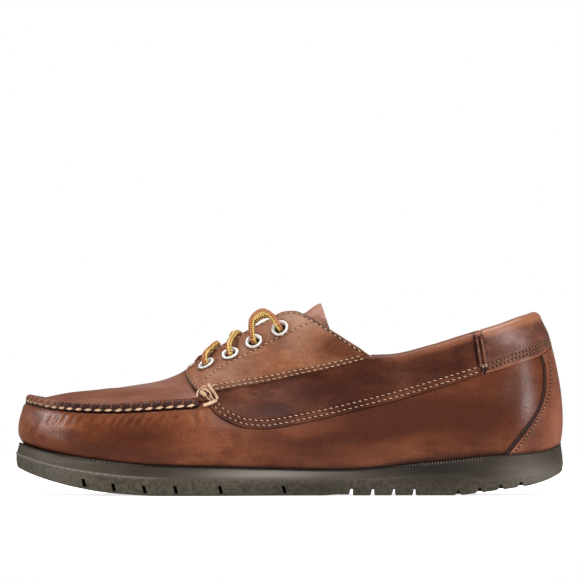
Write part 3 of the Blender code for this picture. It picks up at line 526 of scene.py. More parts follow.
class Look:
    # a material and its nodes; each maker takes numbers or sockets and gives back a socket
    def __init__(self, name):
        self.material = bpy.data.materials.new(name)
        self.material.use_nodes = True
        self.nodes, self.links = self.material.node_tree.nodes, self.material.node_tree.links
        self.coordinates = self.nodes.new("ShaderNodeTexCoord").outputs

    def plug(self, socket, value):
        if isinstance(value, bpy.types.NodeSocket):
            self.links.new(value, socket)
        elif isinstance(value, tuple) and len(socket.default_value) == 4:
            socket.default_value = (*value, 1)
        else:
            socket.default_value = value

    def node(self, kind, **inputs):
        made = self.nodes.new("ShaderNode" + kind)
        for key, value in inputs.items():
            self.plug(made.inputs[key], value)
        return made

    def finish(self, **inputs):
        # sets the shader's own sockets, named without their spaces
        for socket in self.nodes["Principled BSDF"].inputs:
            if socket.name.replace(" ", "") in inputs:
                self.plug(socket, inputs[socket.name.replace(" ", "")])
        return self.material

    def noise(self, scale, detail=3.0, roughness=0.5, stretch=None):
        spot = self.coordinates["Object"]
        if stretch:
            spot = self.node("Mapping", Scale=stretch, Vector=spot).outputs["Vector"]
        return self.node("TexNoise", Scale=scale, Detail=detail, Roughness=roughness, Vector=spot).outputs["Fac"]

    def ramp(self, value, low, dark, high, light, middle=None):
        made = self.node("ValToRGB", Fac=value)
        ends = made.color_ramp.elements
        ends[0].position, ends[0].color = low, (*dark, 1)
        ends[1].position, ends[1].color = high, (*light, 1)
        if middle:
            ends.new(0.5).color = (*middle, 1)
        return made.outputs["Color"]

    def mixed(self, share, first, second, kind="MIX"):
        made = self.nodes.new("ShaderNodeMix")
        made.data_type = "RGBA"
        made.blend_type = kind
        self.plug(made.inputs["Factor"], share)
        for socket, value in zip([socket for socket in made.inputs if socket.type == "RGBA"], (first, second)):
            self.plug(socket, value)
        return next(socket for socket in made.outputs if socket.type == "RGBA")

    def washed(self, colour, **washes):
        # a colour laid over another wherever the tone of that name is painted
        for name, wash in washes.items():
            colour = self.mixed(self.painted(name), colour, wash)
        return colour

    def reckon(self, kind, first, second=0.0):
        made = self.nodes.new("ShaderNodeMath")
        made.operation = kind
        for socket, value in zip(made.inputs, (first, second)):
            self.plug(socket, value)
        return made.outputs[0]

    def times(self, first, second):
        return self.reckon("MULTIPLY", first, second)

    def plus(self, first, second):
        return self.reckon("ADD", first, second)

    def wave(self, turns):
        return self.reckon("SINE", self.times(turns, 2 * math.pi))

    def bumped(self, height, strength, distance, **below):
        return self.node("Bump", Strength=strength, Distance=distance, Height=height, **below).outputs["Normal"]

    def painted(self, name):
        made = self.nodes.new("ShaderNodeAttribute")
        made.attribute_name = name
        return made.outputs["Fac"]


# the colour of the painted grey sheen, and how dark painted shade and cut edges go against the dark colour
leatherLook = {"grain": 1300, "pores": 620, "patches": 28, "streaks": 110, "drift": 0.24, "cut": 0.25,
               "bloom": (0.42, 0.30, 0.27)}


def leather(name, base, dark, light, roughness=0.4, gloss=0.22):
    # waxed pull-up leather: its tone drifts in soft patches, is worked in with lighter and darker tone that also
    # paints highlights and shade, with a painted grey sheen, and goes dark with painted shade in holes, grooves and
    # gaps and on its cut edges
    look = Look(name)
    cloud = look.noise(leatherLook["patches"], 4, 0.6)
    streak = look.noise(leatherLook["streaks"], 5, 0.62, (0.5, 1, 1.5))
    fine = look.noise(leatherLook["pores"], 3, 0.6)
    colour = look.ramp(look.plus(look.times(cloud, 0.5), look.times(streak, 0.5)), 0.34, dark, 0.72, light, base)
    # lighter and darker tone, partly painted highlight and painted shade, and the painted grey sheen
    colour = look.washed(colour, glow=light, shade=dark, bloom=leatherLook["bloom"])
    speck = look.ramp(fine, 0.34, (0.8, 0.8, 0.8), 0.66, (1.16, 1.16, 1.16))
    colour = look.mixed(0.7, colour, speck, "MULTIPLY")
    # painted shade in holes, grooves and gaps, and dark cut edges
    colour = look.washed(colour, crevice=tuple(leatherLook["cut"] * c for c in dark))
    rough = look.plus(look.times(cloud, leatherLook["drift"]), roughness - leatherLook["drift"] / 2)
    cells = look.node("TexVoronoi", Scale=leatherLook["grain"], Vector=look.coordinates["Object"])
    grain = look.bumped(cells.outputs["Distance"], 0.14, 0.0002)
    grain = look.bumped(fine, 0.28, 0.0004, Normal=grain)
    grain = look.bumped(streak, 0.18, 0.0010, Normal=grain)
    return look.finish(BaseColor=colour, Roughness=rough, SpecularIORLevel=gloss, Normal=grain)


def plainLook(name, colour, roughness, metallic=0.0, grain=2600, depth=0.0002, spread=0.2):
    look = Look(name)
    fine = look.noise(grain, 3)
    low, high = tuple((1 - spread) * c for c in colour), tuple(min((1 + spread) * c, 1) for c in colour)
    return look.finish(BaseColor=look.ramp(fine, 0.32, low, 0.68, high), Roughness=roughness, Metallic=metallic,
                       Normal=look.bumped(fine, 0.3, depth))


# each leather's base, dark and light colour, its roughness and its gloss
leathers = {
    "vamp": ((0.134, 0.034, 0.011), (0.066, 0.014, 0.005), (0.25, 0.076, 0.029), 0.34, 0.3),
    "plug": ((0.172, 0.052, 0.025), (0.105, 0.029, 0.014), (0.28, 0.105, 0.060), 0.42, 0.14),
    "ridge": ((0.076, 0.023, 0.014), (0.036, 0.010, 0.006), (0.27, 0.115, 0.062), 0.5),
    "saddle": ((0.088, 0.023, 0.010), (0.036, 0.009, 0.005), (0.22, 0.074, 0.036), 0.4, 0.15),
    "facing": ((0.232, 0.086, 0.040), (0.11, 0.034, 0.016), (0.36, 0.20, 0.135), 0.5, 0.12),
    "band": ((0.112, 0.037, 0.023), (0.062, 0.019, 0.012), (0.29, 0.108, 0.056), 0.36, 0.3),
    "counter": ((0.175, 0.053, 0.028), (0.085, 0.022, 0.011), (0.30, 0.104, 0.056), 0.42),
    "tab": ((0.082, 0.025, 0.014), (0.036, 0.011, 0.007), (0.26, 0.095, 0.050), 0.38),
    "tongue": ((0.26, 0.110, 0.072), (0.16, 0.060, 0.040), (0.46, 0.26, 0.20), 0.5, 0.12),
    "lining": ((0.40, 0.25, 0.135), (0.31, 0.18, 0.09), (0.48, 0.33, 0.19), 0.6)}
looks = {key: leather(key + "Leather", *values) for key, values in leathers.items()}
looks.update({
    "rawhide": leather("rawhide", (0.5, 0.32, 0.195), (0.23, 0.125, 0.065), (0.68, 0.5, 0.34), 0.6),
    "thread": plainLook("tanThread", (0.52, 0.34, 0.22), 0.75),
    "brownThread": plainLook("brownThread", (0.42, 0.22, 0.12), 0.75),
    # near black, for needle holes and the groove before the counter: painted shade
    "hole": plainLook("needleHoleShade", (0.026, 0.009, 0.006), 0.9),
    "metal": plainLook("eyeletMetal", (0.74, 0.73, 0.70), 0.32, 0.25, 260, 0.00001, 0.05)})

print("lace")

laceSizes = {"wide": 3.2, "faceOut": 1.95, "mouth": 1.9, "leave": 2.2, "lift": 0.8, "braid": 2.3,
             "tongueClear": 3.8, "tongueDrop": 11.0}
eyeletPlaces = rowsOf("x below", (-44.4, 12.8), (-31.7, 12.4), (-18.8, 11.2), (-4.5, 10.4))
# a strand's steps out of its eyelet: on along the shoe, up the facing and out from it
strandSteps = ((0.5, 3.4, 3.8), (1.6, 8.2, 3.1))
# then past the facing's edge: on along the shoe, beyond the edge and out from it
strandEdge = {lateral: (2.6, 1.4, 3.5), medial: (0.6, 1.6, 3.6)}
barEdge, barMiddle = (4.0, 1.5, 3.7), (1.0, 0.0, -0.4)
# over the tongue: on along the shoe, across and up
crossings = {lateral: ((6.5, 4.5, 1.6), (8.5, -2.5, 0.0), (10.1, -8.5, 0.0)),
             medial: ((4.5, 4.5, 3.0), (7.5, -2.5, 1.4), (10.1, -8.5, 0.0))}
# the arches: x, out from the third eyelet, and z
archRows = {lateral: ((-20.8, 0.5, 94.6), (-18.6, 0.0, 98.6), (-14.9, -0.4, 100.5), (-11.4, -0.6, 99.3),
                      (-8.6, -0.4, 96.4)),
            medial: ((-20.4, 0.8, 92.6), (-18.0, 0.6, 95.8), (-14.6, 0.4, 97.8), (-10.8, 0.2, 98.0),
                     (-7.6, 0.2, 96.2))}

# how far each strand is turned about itself, so that its gold half shows as it should
laceTurns = {"loop": {lateral: 280, medial: 150}, "bar": 285, "strand": {lateral: 235, medial: 150}}


def ropeLook():
    # half of the cord is russet and half is gold, both flecked dark where the braid crosses
    look = Look("ropeLace")
    parts = look.nodes.new("ShaderNodeSeparateXYZ")
    look.plug(parts.inputs[0], look.coordinates["UV"])
    lap = parts.outputs[1]
    run = look.reckon("DIVIDE", look.times(parts.outputs[0], look.painted("long")), laceSizes["braid"])
    waves = [look.wave(look.plus(run, look.times(lap, strands))) for strands in (3.0, -3.0)]
    cross = look.times(*waves)
    fine = look.noise(620, 2)
    edge = look.plus(look.wave(lap), look.times(cross, 0.35))
    halves = look.ramp(edge, 0.0, (0.72, 0.47, 0.13), 0.06, (0.48, 0.17, 0.055))
    flecks = look.ramp(look.times(look.plus(cross, fine), 0.7), 0.38, (0, 0, 0), 0.60, (0.9, 0.9, 0.9))
    weave = look.bumped(cross, 0.6, 0.0005)
    return look.finish(BaseColor=look.mixed(flecks, halves, (0.10, 0.028, 0.010)), Roughness=0.7,
                       Normal=look.bumped(fine, 0.3, 0.0003, Normal=weave))


looks["rope"] = ropeLook()


def onFacing(x, side, below, out):
    # a point on the facing, a distance down from its edge, and the way out there
    q = ringAt(x, side)
    v = np.arange(2.98, 2.0, -0.004)
    line = onSkin(np.full(len(v), q), v)
    down = np.linalg.norm(line - line[0], axis=1)
    here = np.interp(below, down, v)
    normal = skinNormal(np.array([q]), np.array([here]))[0]
    return onSkin(np.array([q]), np.array([here]))[0] + normal * out, normal


def pastEdge(x, side, on, beyond, out):
    section = Section(ringAt(x + on, side))
    return section.place(section.topR - section.outZ * beyond + section.outR * out,
                         section.topZ + section.outR * beyond + section.outZ * out)


insides = {}


def insideLimits(x, side):
    # the upper's inner face at a station: distances from the spine, and heights
    if (x, side) not in insides:
        q = np.full(60, ringAt(x, side))
        face = innerFace(q, np.linspace(3, 1.2, 60))
        insides[x, side] = np.maximum.accumulate(np.abs(face[:, 1] - Section(q).y)), face[:, 2]
    return insides[x, side]


def tongueTop(x, r):
    bend = along(tongueRows, "bend", x)
    z = along(tongueRows, "crown", x) - (bend - math.sqrt(max(bend**2 - r**2, 0.0)))
    for side in bothSides:
        reach, height = insideLimits(x, side)
        if r >= reach[0]:
            z = min(z, np.interp(r, reach, height) - laceSizes["tongueClear"])
    return z


def tongueHalf(x, side):
    level = along(tongueRows, "crown", x) - laceSizes["tongueDrop"]
    reach, height = insideLimits(x, side)
    if level < height.max():
        return min(along(tongueRows, "half", x), np.interp(-level, -height, reach) - laceSizes["tongueClear"] / 2)
    return along(tongueRows, "half", x)


def overTongue(x, y, lift):
    z = tongueTop(x, abs(y)) + laceSizes["wide"] / 2 + laceSizes["lift"] + lift
    return np.array([x, along(planRows, "spine", x) + y, z])


def strandStart(spot, side, edge):
    face = laceSizes["faceOut"]
    steps = ((0.0, 0.0, laceSizes["mouth"]), *strandSteps)
    made = [onFacing(spot.x + on, side, spot.below - up, face + out)[0] for on, up, out in steps]
    return [onFacing(spot.x, side, spot.below, -3.5)[0], *made, pastEdge(spot.x, side, *edge)]


def archRoute(side):
    ends = []
    for spot in eyeletPlaces[2:]:
        mouth, way = onFacing(spot.x, side, spot.below, laceSizes["faceOut"] + laceSizes["mouth"])
        ends.append([mouth - 7.4 * way, mouth, mouth + laceSizes["leave"] * way])
    y = ends[0][1][1]
    arch = [np.array([x, y + side * out, z]) for x, out, z in archRows[side]]
    return [*ends[0], *arch, *reversed(ends[1])]


def makeLace():
    for side in bothSides:
        path = smoothLine(archRoute(side), 0.4)
        name = "laceLoop_" + sideNames[side]
        piece = tubePiece(name, path, laceSizes["wide"], turn=laceTurns["loop"][side])
        hand(piece, looks["rope"], "lace", "lace_loop_" + sideNames[side])
        tuple(archRoute(side)[1] * mm)
    start, finish = (strandStart(eyeletPlaces[0], side, barEdge) for side in bothSides)
    middle = (start[-1] + finish[-1]) / 2 + barMiddle
    bar = tubePiece("laceBar", smoothLine([*start, middle, *reversed(finish)], 0.4), laceSizes["wide"],
                    turn=laceTurns["bar"])
    hand(bar, looks["rope"], "lace", "lace_bar")
    strands = []
    for side in bothSides:
        spot = eyeletPlaces[1]
        across = [overTongue(spot.x + on, side * y, lift) for on, y, lift in crossings[side]]
        path = smoothLine([*strandStart(spot, side, strandEdge[side]), *across], 0.4)
        strands.append(tubePiece("strand", path, laceSizes["wide"], turn=laceTurns["strand"][side]))
    hand(joined("laceCrossing", strands), looks["rope"], "lace", "lace_crossing")


makeLace()

print("sole")

soleSizes = {"edge": 3.4, "widest": 5.5, "lean": 2.2, "toeLean": -0.5, "heelLean": -1.0, "columns": 720,
             "rows": 44, "pitch": 1.55, "teeth": 0.5}
slotPlaces = (34.0, 45.8, 57.3, 68.6)
slotShape = ((-2.6, -1.5), (-2.2, -0.2), (-1.5, 0.6), (-1.0, 1.6), (-0.7, 3.3), (0.7, 3.3), (0.8, 1.5),
             (0.95, -1.5))
groovePlaces = (92.2, 103.8, 115.4, 126.4)
sipeShape = ((-0.9, -1.5), (-0.85, 2.1), (-0.5, 2.8), (0.5, 2.8), (0.85, 2.1), (0.9, -1.5))
flareShape = ((-2.7, -1.5), (-2.0, 0.1), (-1.2, 0.75), (1.2, 0.75), (2.0, 0.1), (2.7, -1.5))
grooveShape = ((-0.9, -1.5), (-0.8, 1.0), (0.8, 1.0), (0.9, -1.5))
notchPlaces = (-112.0, -95.8, -79.0, -62.0, -37.6, -3.0)
notchShape = ((-0.3, 1.3), (-1.4, 5.5), (0.4, 5.5), (1.6, 1.3))
# painted highlight (the sheen on the upper sidewall) and painted shade on the sole, from the side
soleTones = {
    "glow": ((-14, 11.8, 34, 2.6, 0.8), (-122, 9, 18, 7, 0.12), (134, 12, 18, 7, 0.35),
             (-100, 18.5, 30, 1.2, 0.15)),
    "shade": ((78, 15, 36, 6, 1.0), (84, 6, 26, 6, 0.35), (10, 4, 34, 5, 0.5), (-62, 13, 30, 5, 0.3),
              (112, 20, 16, 3, 0.3))}


def rubber():
    look = Look("soleRubber")
    mottle = look.noise(480, 5, 0.65)
    colour = look.ramp(look.noise(40, 4), 0.35, (0.040, 0.031, 0.021), 0.65, (0.060, 0.047, 0.033))
    rough = look.ramp(mottle, 0.36, (0.038, 0.031, 0.020), 0.66, (0.084, 0.070, 0.048))
    # the coarse mottle is the rubber's own; the grey wash is a painted highlight, the dark washes painted shade
    colour = look.washed(colour, coarse=rough, glow=(0.22, 0.20, 0.17), shade=(0.016, 0.011, 0.008),
                         crevice=(0.008, 0.005, 0.004))
    fine = look.bumped(look.noise(1500, 2), 0.2, 0.0002)
    depth = look.times(mottle, look.painted("coarse"))
    return look.finish(BaseColor=colour, Roughness=0.5, SpecularIORLevel=0.25,
                       Normal=look.bumped(depth, 0.35, 0.0006, Normal=fine))


looks["rubber"] = rubber()


def soleLean(section):
    return soleSizes["lean"] + soleSizes["toeLean"] * section.toe + soleSizes["heelLean"] * section.heel


def soleLattice():
    # round the sole, and from under the foot over the edge to the middle of the tread
    u, v = shares(soleSizes["columns"], soleSizes["rows"])
    section = Section(600 * u[:, :1])
    edge = section.radius - soleSizes["edge"]
    low = section.bottom(edge)
    lean = soleLean(section)
    top = section.radius - lean
    high = section.ledge(top)
    waist = (low + soleSizes["widest"] + high) / 2
    foot, wide = section.footR, section.radius
    over = [(share, r, section.ledge(r)) for share, r in
            ((0.0, 0 * edge), (0.06, foot - 8), (0.10, foot - 1.5), (0.14, top - 0.75))]
    side = [(0.18, top - 0.12, high - 0.25), (0.22, top + 0.1, high - 0.95),
            (0.34, wide - 0.45 * lean, waist + 0.6), (0.46, wide - 0.12 * lean, waist - 1.2),
            (0.56, wide, low + soleSizes["widest"]), (0.68, wide - 0.35, low + 2.2),
            (0.76, wide - 1.4, low + 0.6), (0.82, edge, low)]
    tread = [(share, r, section.bottom(r)) for share, r in ((0.9, wide * 0.6), (1.0, 0 * edge))]
    marks, rs, zs = zip(*over, *side, *tread)
    rs, zs = np.hstack(rs), np.hstack(zs)
    r = np.stack([np.interp(v[0], marks, line) for line in rs])
    z = np.stack([np.interp(v[0], marks, line) for line in zs])
    x = section.x + section.dx * r
    lineAt = 0.455 + 0.10 * ease((x - 88) / 24)
    line = bump(v - lineAt, 0.018)
    forward = ease((x + 60) / -30) + 0.25 * ease((x - 112) / 14)
    wobble = 0.5 + 0.3 * np.sin(2.1 * 600 * u) + 0.2 * np.sin(5.3 * 600 * u + 1)
    r = r + (0.15 + 0.35 * wobble * forward) * line
    places = section.place(r, z)
    # the bead is painted lighter where it stands forward
    bead = (0.15 + (0.3 + 0.55 * wobble) * np.clip(forward, 0, 1)) * line
    rough = ease((v - lineAt + 0.01) / 0.03) * ease((0.84 - v) / 0.03)
    # painted shade on the ledge under the upper
    tones = {**toned(places, soleTones), "coarse": rough, "crevice": ease((0.17 - v) / 0.03)}
    tones["glow"] = np.maximum(tones["glow"], bead)
    return places, tones


def prism(outline, near, far):
    # an outline of x and z, drawn out across the shoe
    deselect()
    bpy.ops.mesh.primitive_circle_add(vertices=len(outline), fill_type="NGON")
    obj = bpy.context.active_object
    for vertex, (x, z) in zip(obj.data.vertices, outline):
        vertex.co = Vector((x, near, z)) * mm
    editAll(obj)
    bpy.ops.mesh.extrude_region_move(TRANSFORM_OT_translate={"value": (0, (far - near) * mm, 0)})
    bpy.ops.mesh.select_all(action="SELECT")
    bpy.ops.mesh.normals_make_consistent(inside=False)
    bpy.ops.object.mode_set(mode="OBJECT")
    return obj


def soleEdge(x, side):
    s = np.arange(-149.0, 149.0, 0.5)
    section = Section(ringAt(s, side))
    place = section.place(section.radius, 0 * s)
    return float(np.interp(x, place[:, 0], place[:, 1]))


def makeSole():
    lattice, tones = soleLattice()
    sole = gridPiece("soleUnit", lattice, tones)
    mergePoints(sole)

    def cutter(x, shape, near, far):
        low = float(along(heightRows, "bottom", x))
        return prism([(x + dx, low + dz) for dx, dz in shape], near, far)

    deep = [cutter(x, slotShape, -75, 75) for x in slotPlaces]
    deep += [cutter(x, grooveShape, soleEdge(x, lateral) + 9, soleEdge(x, medial) - 9) for x in groovePlaces]
    for shape, places in ((notchShape, notchPlaces), (sipeShape, groovePlaces)):
        for x in places:
            for side in bothSides:
                edge = soleEdge(x, side)
                deep.append(cutter(x, shape, edge - 6, edge + 6))
    flares = [cutter(x, flareShape, -75, 75) for x in groovePlaces]
    for tools in (deep, flares):
        tool = joined("soleCutter", tools)
        setting(sole, "BOOLEAN", operation="DIFFERENCE", solver="EXACT", object=tool)
        discard(tool)
    smooth(sole, 38)
    hand(sole, looks["rubber"], "rubber", "outsole")


def makeLedgeTeeth():
    # a fine wheeled bead on the ledge's outer corner
    u, v = shares(2400, 6)
    q = 600 * u[:, :1]
    section = Section(q)
    rim = section.place(section.radius, 0 * q)[:, 0]
    run = runAlong(rim)[:, None]
    tooth = (0.5 + 0.5 * np.cos(2 * np.pi * run / soleSizes["pitch"])) ** 2
    x = rim[:, :1]
    strong = np.clip(np.exp(-(((x + 103) / 26) ** 4)) + np.exp(-(((x - 90) / 32) ** 4)), 0.1, 1)
    r = section.radius - soleLean(section) - 0.25
    z = section.ledge(r) - 0.3
    size = 0.5 + soleSizes["teeth"] * strong * tooth
    turn = 2 * np.pi * v
    lattice = section.place(r + size * np.cos(turn), z + size * np.sin(turn))
    # painted shade between the teeth and a painted highlight on each
    tones = {"crevice": 0.9 - 0.9 * strong * tooth + 0 * v, "glow": 0.5 * strong * tooth + 0 * v}
    bead = gridPiece("ledgeBead", lattice, tones, facing=None)
    mergePoints(bead, 0.005)
    smooth(bead, 60)
    hand(bead, looks["rubber"], "rubber")


makeSole()
makeLedgeTeeth()

print("vamp and plug")

seamSizes = {"pitch": 5.7, "height": 3.9, "toeHeight": -0.3, "from": -48.0, "wallThick": 1.5, "plugThick": 1.4,
             "gapAt": 0.22, "toeLift": 0.9, "toeLean": 0.2}
# the shares of the wall's rows: the margin under the foot, the wall, where its top starts and the roll there
vampRows = {"margin": 0.05, "wall": 0.87, "top": 0.92, "roll": 0.08}
seamRing = (ringAt(seamSizes["from"], lateral), ringAt(seamSizes["from"], medial))
seamSteps = np.linspace(*seamRing, 900)
seamLengths = runAlong(onSkin(seamSteps, 2.0))
gapCount = int(round(seamLengths[-1] / seamSizes["pitch"]))
seamPitch = seamLengths[-1] / gapCount

# creases, from the side: both ends, half width and depth
creases = rowsOf(
    "x0 z0 x1 z1 width depth",
    (-130, 45, -134, 39, 0.9, 0.16), (-125, 45, -130, 38.5, 0.9, 0.18), (-120.5, 45, -126, 38, 0.8, 0.18),
    (-116.5, 44.5, -121, 38, 0.9, 0.18), (-112, 44.5, -116, 39.5, 0.8, 0.16), (-106, 44, -109, 39, 0.8, 0.13),
    (-99, 44, -102.5, 38.5, 0.9, 0.14), (-93, 44.5, -97.5, 38, 0.9, 0.18), (-88.5, 44.5, -94, 38, 0.9, 0.2),
    (-83.5, 45, -89.5, 37.5, 0.9, 0.2), (-78.5, 45.3, -84, 38.5, 0.9, 0.18), (-73, 45.5, -78, 39.5, 0.8, 0.16),
    (-67, 46, -71, 40.5, 0.9, 0.14), (-60, 46.3, -63, 41, 0.9, 0.14), (-138, 41, -141, 33, 1.2, 0.14),
    (-52, 46, -50, 38, 1.4, 0.18), (-131, 34, -112, 32, 2.4, 0.12), (-96, 33, -70, 31, 2.8, 0.1),
    (-25, 33, 20, 27, 3.5, 0.18), (10, 30, 52, 33, 3.0, 0.16), (60, 36, 92, 44, 3.5, 0.14),
    (98, 40, 118, 44, 3.0, 0.14), (55, 62, 82, 66, 3.0, 0.14), (-30, 52, 5, 53, 3.0, 0.14))
# patches from the side: lighter tone with painted highlights, darker tone with painted shade low on the wall, and
# painted sheen at the toe and the rear
vampTones = {
    "glow": ((-149, 38, 6, 12, 0.6), (-48, 44, 9, 7, 0.4), (-100, 42, 10, 3, 0.2), (-124, 40, 10, 4, 0.3),
             (-20, 42, 12, 6, 0.15)),
    "shade": ((-92, 29, 26, 9, 0.35), (-70, 34, 24, 8, 0.3), (28, 36, 34, 12, 0.65), (92, 44, 36, 18, 0.8),
              (10, 22, 34, 7, 0.7), (95, 24, 24, 8, 0.2), (-116, 25, 34, 6, 0.7), (62, 46, 30, 9, 0.7),
              (48, 36, 16, 8, 0.5), (-84, 36, 20, 6, 0.35), (126, 60, 14, 16, 0.6), (108, 40, 16, 14, 0.4),
              (-76, 24, 20, 6, 0.3)),
    "bloom": ((-133, 45, 5, 2.2, 0.3), (-142, 43, 3, 3, 0.15), (132, 50, 4, 9, 0.12))}


def creased(places):
    # soft troughs with a low swelling on each side
    depth = 0
    for crease in creases:
        start = np.array([crease.x0, crease.z0])
        way = np.array([crease.x1, crease.z1]) - start
        long = np.linalg.norm(way)
        way = way / long
        offset = places[..., [0, 2]] - start
        run = offset @ way
        across = offset @ np.array([-way[1], way[0]])
        fade = np.sin(np.pi * np.clip(0.08 + 0.84 * run / long, 0.02, 0.98)) ** 0.7
        beyond = np.maximum(np.maximum(-run, run - long), 0)
        shape = bump(across, crease.width) - 0.55 * bump(np.abs(across) - 2 * crease.width, crease.width)
        depth = depth + crease.depth * fade * shape * bump(beyond, crease.width)
    return depth


def seamPhase(q):
    # how far along a block of the puckered seam; whole numbers are its gaps
    return np.interp(q, seamSteps, seamLengths) / seamPitch


def onSeam(q):
    # 1 along the puckered seam, 0 behind its ends
    return ease((q - seamRing[0] + 3) / 4) * ease((seamRing[1] + 3 - q) / 4)


def makeVamp():
    # the low wall all round, with its margin under the foot; behind the seam it runs on to the top edge
    u, v = shares(820, 57)
    q = 600 * u[:, :1]
    section = Section(q)
    back = ease((section.s + 52) / 6)
    up = np.clip((v - vampRows["margin"]) / vampRows["wall"], 0, 1)
    turning = np.clip((v - vampRows["top"]) / vampRows["roll"], 0, 1)
    heights = (1 - (1 - up) ** 1.4) * (2.03 + 0.97 * back)
    places = onSkin(q, heights)
    seamed = onSeam(q)
    below = np.clip(section.seamZ - places[..., 2], 0, 60)
    slant = np.clip((300 - q) / 40, -1, 1) * 0.3 * below
    folds = (0.5 + 0.5 * np.cos(2 * np.pi * (2 * seamPhase(q) - slant))) ** 2
    gather = 0.34 * np.exp(-below / 2.6) * folds
    tuck = 1.2 * bump(below, 1.1) + 1.2 * ease(turning)
    puff = 0.4 * bump(below - 3.0, 2.0)
    creaseDepth = creased(places)
    out = seamed * (puff - gather - tuck) * (1 - back) - creaseDepth
    places = pushed(places, q, heights, out)
    places = swapped(places, (v > vampRows["top"]) & (back > 0.99), rollEdge(q, 90 * turning))
    inward = section.footR - last["margin"] * np.clip(1 - v / vampRows["margin"], 0, 1)
    under = section.place(inward, section.ledge(inward) + last["gap"])
    places = swapped(places, v < vampRows["margin"], under)
    # painted shade: a dark line under the seam's thread and along the upper's foot above the sole
    atSeam = ease((section.seamZ + 3 - places[..., 2]) / 2) * (1 - back)
    crevice = seamed * 0.95 * ease((1.75 - below) / 0.55) * atSeam
    footDark = 1.5 + 1.7 * np.exp(-(((places[..., 0] - 85) / 32) ** 4))
    crevice = np.maximum(crevice, 0.95 * bump(np.maximum(places[..., 2] - section.footZ, 0), footDark))
    # painted highlights on the puckers under the seam and on the creases' ridges, painted shade in their folds and
    # troughs
    pucker = seamed * (1 - back) * bump(below - 3.0, 1.3)
    tones = toned(places, vampTones)
    glow = np.maximum(tones["glow"] + np.clip(-4.5 * creaseDepth, 0, 0.4), pucker * (0.55 - 0.5 * folds))
    shade = np.maximum(tones["shade"] + np.clip(2.4 * creaseDepth, 0, 0.4), 0.45 * pucker * folds)
    tones.update(glow=np.clip(glow, 0, 1), shade=np.clip(shade, 0, 1), crevice=crevice)
    wall = gridPiece("vampWall", places, tones)
    mergePoints(wall, closed=False)
    thicken(wall, seamSizes["wallThick"], 0)
    hand(wall, looks["vamp"], "vamp_leather", "upper")


# painted highlights and painted sheen along the plug's top, painted shade low by the seam
plugTones = {
    "glow": ((-100, 56, 40, 4, 0.15), (-70, 62, 14, 6, 0.1)),
    "shade": ((-90, 54, 26, 3.5, 0.35), (-120, 54, 10, 3, 0.3)),
    "bloom": ((-98, 60, 30, 1.6, 0.35), (-70, 64, 12, 2.2, 0.22))}


def makePlug():
    u, v = shares(380, 50)
    q = ringAt(-46, lateral) + (ringAt(-46, medial) - ringAt(-46, lateral)) * u[:, :1]
    section = Section(q)
    heights = 2.0 + v**1.2
    places = onSkin(q, heights)
    near = np.linalg.norm(places - onSkin(q, 2.0), axis=-1)
    seamed = onSeam(q)
    waves = 0.5 + 0.5 * np.cos(2 * np.pi * (seamPhase(q) + seamSizes["gapAt"]))
    inward = seamed * 2.2 * bump(near, 2.0)
    rise = seamed * (3.0 * bump(near, 4.5) - 0.35 * bump(near - 3.5, 2.5) * waves)
    rise = rise + seamSizes["toeLift"] * bump(places[..., 0] + 122, 13) * (1 - bump(near, 5.0))
    places = places - section.outward(v) * inward[..., None]
    places[..., 2] += rise
    piece = gridPiece("plug", places, toned(places, plugTones))
    mergePoints(piece, 0.04, closed=False)
    thicken(piece, seamSizes["plugThick"], 0)
    hand(piece, looks["plug"], "vamp_leather")


def makeRidge():
    # the plug's raised edge, drawn in between blocks by the thread
    u, v = shares(1300, 24)
    q = seamRing[0] + (seamRing[1] - seamRing[0]) * u[:, :1]
    section = Section(q)
    seam = onSkin(q, 2.0 + 0 * v)
    ends = ease(np.minimum(u, 1 - u) * 64)
    tall = seamSizes["height"] + seamSizes["toeHeight"] * section.toe**2
    outline = np.array([(-2.6, -1.0), (-0.5, -1.0), (0.15, -0.3), (0.45, 0.7), (0.5, 2.0), (0.25, 3.1), (-0.5, 3.8),
                        (-1.4, 3.9), (-2.3, 3.4), (-3.0, 2.6), (-3.5, 1.4), (-3.4, 0.0), (-2.6, -1.0)])
    marks = np.linspace(0, 1, len(outline))
    r, z = np.interp(v, marks, outline[:, 0]), np.interp(v, marks, outline[:, 1])
    phase = seamPhase(q) + seamSizes["gapAt"] + 0.05 * (z - 2)
    gap = np.abs(phase - np.round(phase)) * seamPitch
    block = 1 - np.exp(-((gap / 0.7) ** 4))
    belly = np.sin(np.pi * (phase - np.floor(phase))) ** 0.5
    face = bump(v - 0.36, 0.17)
    r = r + face * (-0.8 * (1 - block) + 0.35 * block * belly) - seamSizes["toeLean"] * z * section.toe**2
    z = z * tall / 3.9 - 0.5 * (1 - block) * (z > 2.5)
    r = -1.2 + (r + 1.2) * (0.35 + 0.65 * ends)
    z = z * (0.25 + 0.75 * ends)
    places = seam + section.outward(v) * r[..., None]
    places[..., 2] += z
    # painted shade at the blocks' gap edges and under the ridge, the blocks' fronts darker, a painted highlight
    # along the top edge, paler gaps and lighter toe blocks
    olive = ease((section.toe - 0.35) / 0.2)
    edge = bump(gap - 1.0, 0.28)
    front = ease((0.54 - v) / 0.05)
    crevice = front * (0.55 * edge + 0.12 * block * (1 - olive)) + 0.9 * bump(v - 0.12, 0.07)
    glow = 0.7 * bump(v - 0.55, 0.05) * block + front * (0.55 * (1 - block) * (1 - edge) + 0.6 * olive)
    tones = {"shade": front * block * (0.8 - 0.75 * olive), "crevice": np.clip(crevice, 0, 0.95),
             "glow": np.clip(glow, 0, 1)}
    ridge = gridPiece("seamRidge", places, tones, facing=None)
    mergePoints(ridge)
    smooth(ridge, 60)
    hand(ridge, looks["ridge"], "vamp_leather")


makeVamp()
makePlug()
makeRidge()

print("stitching tools")

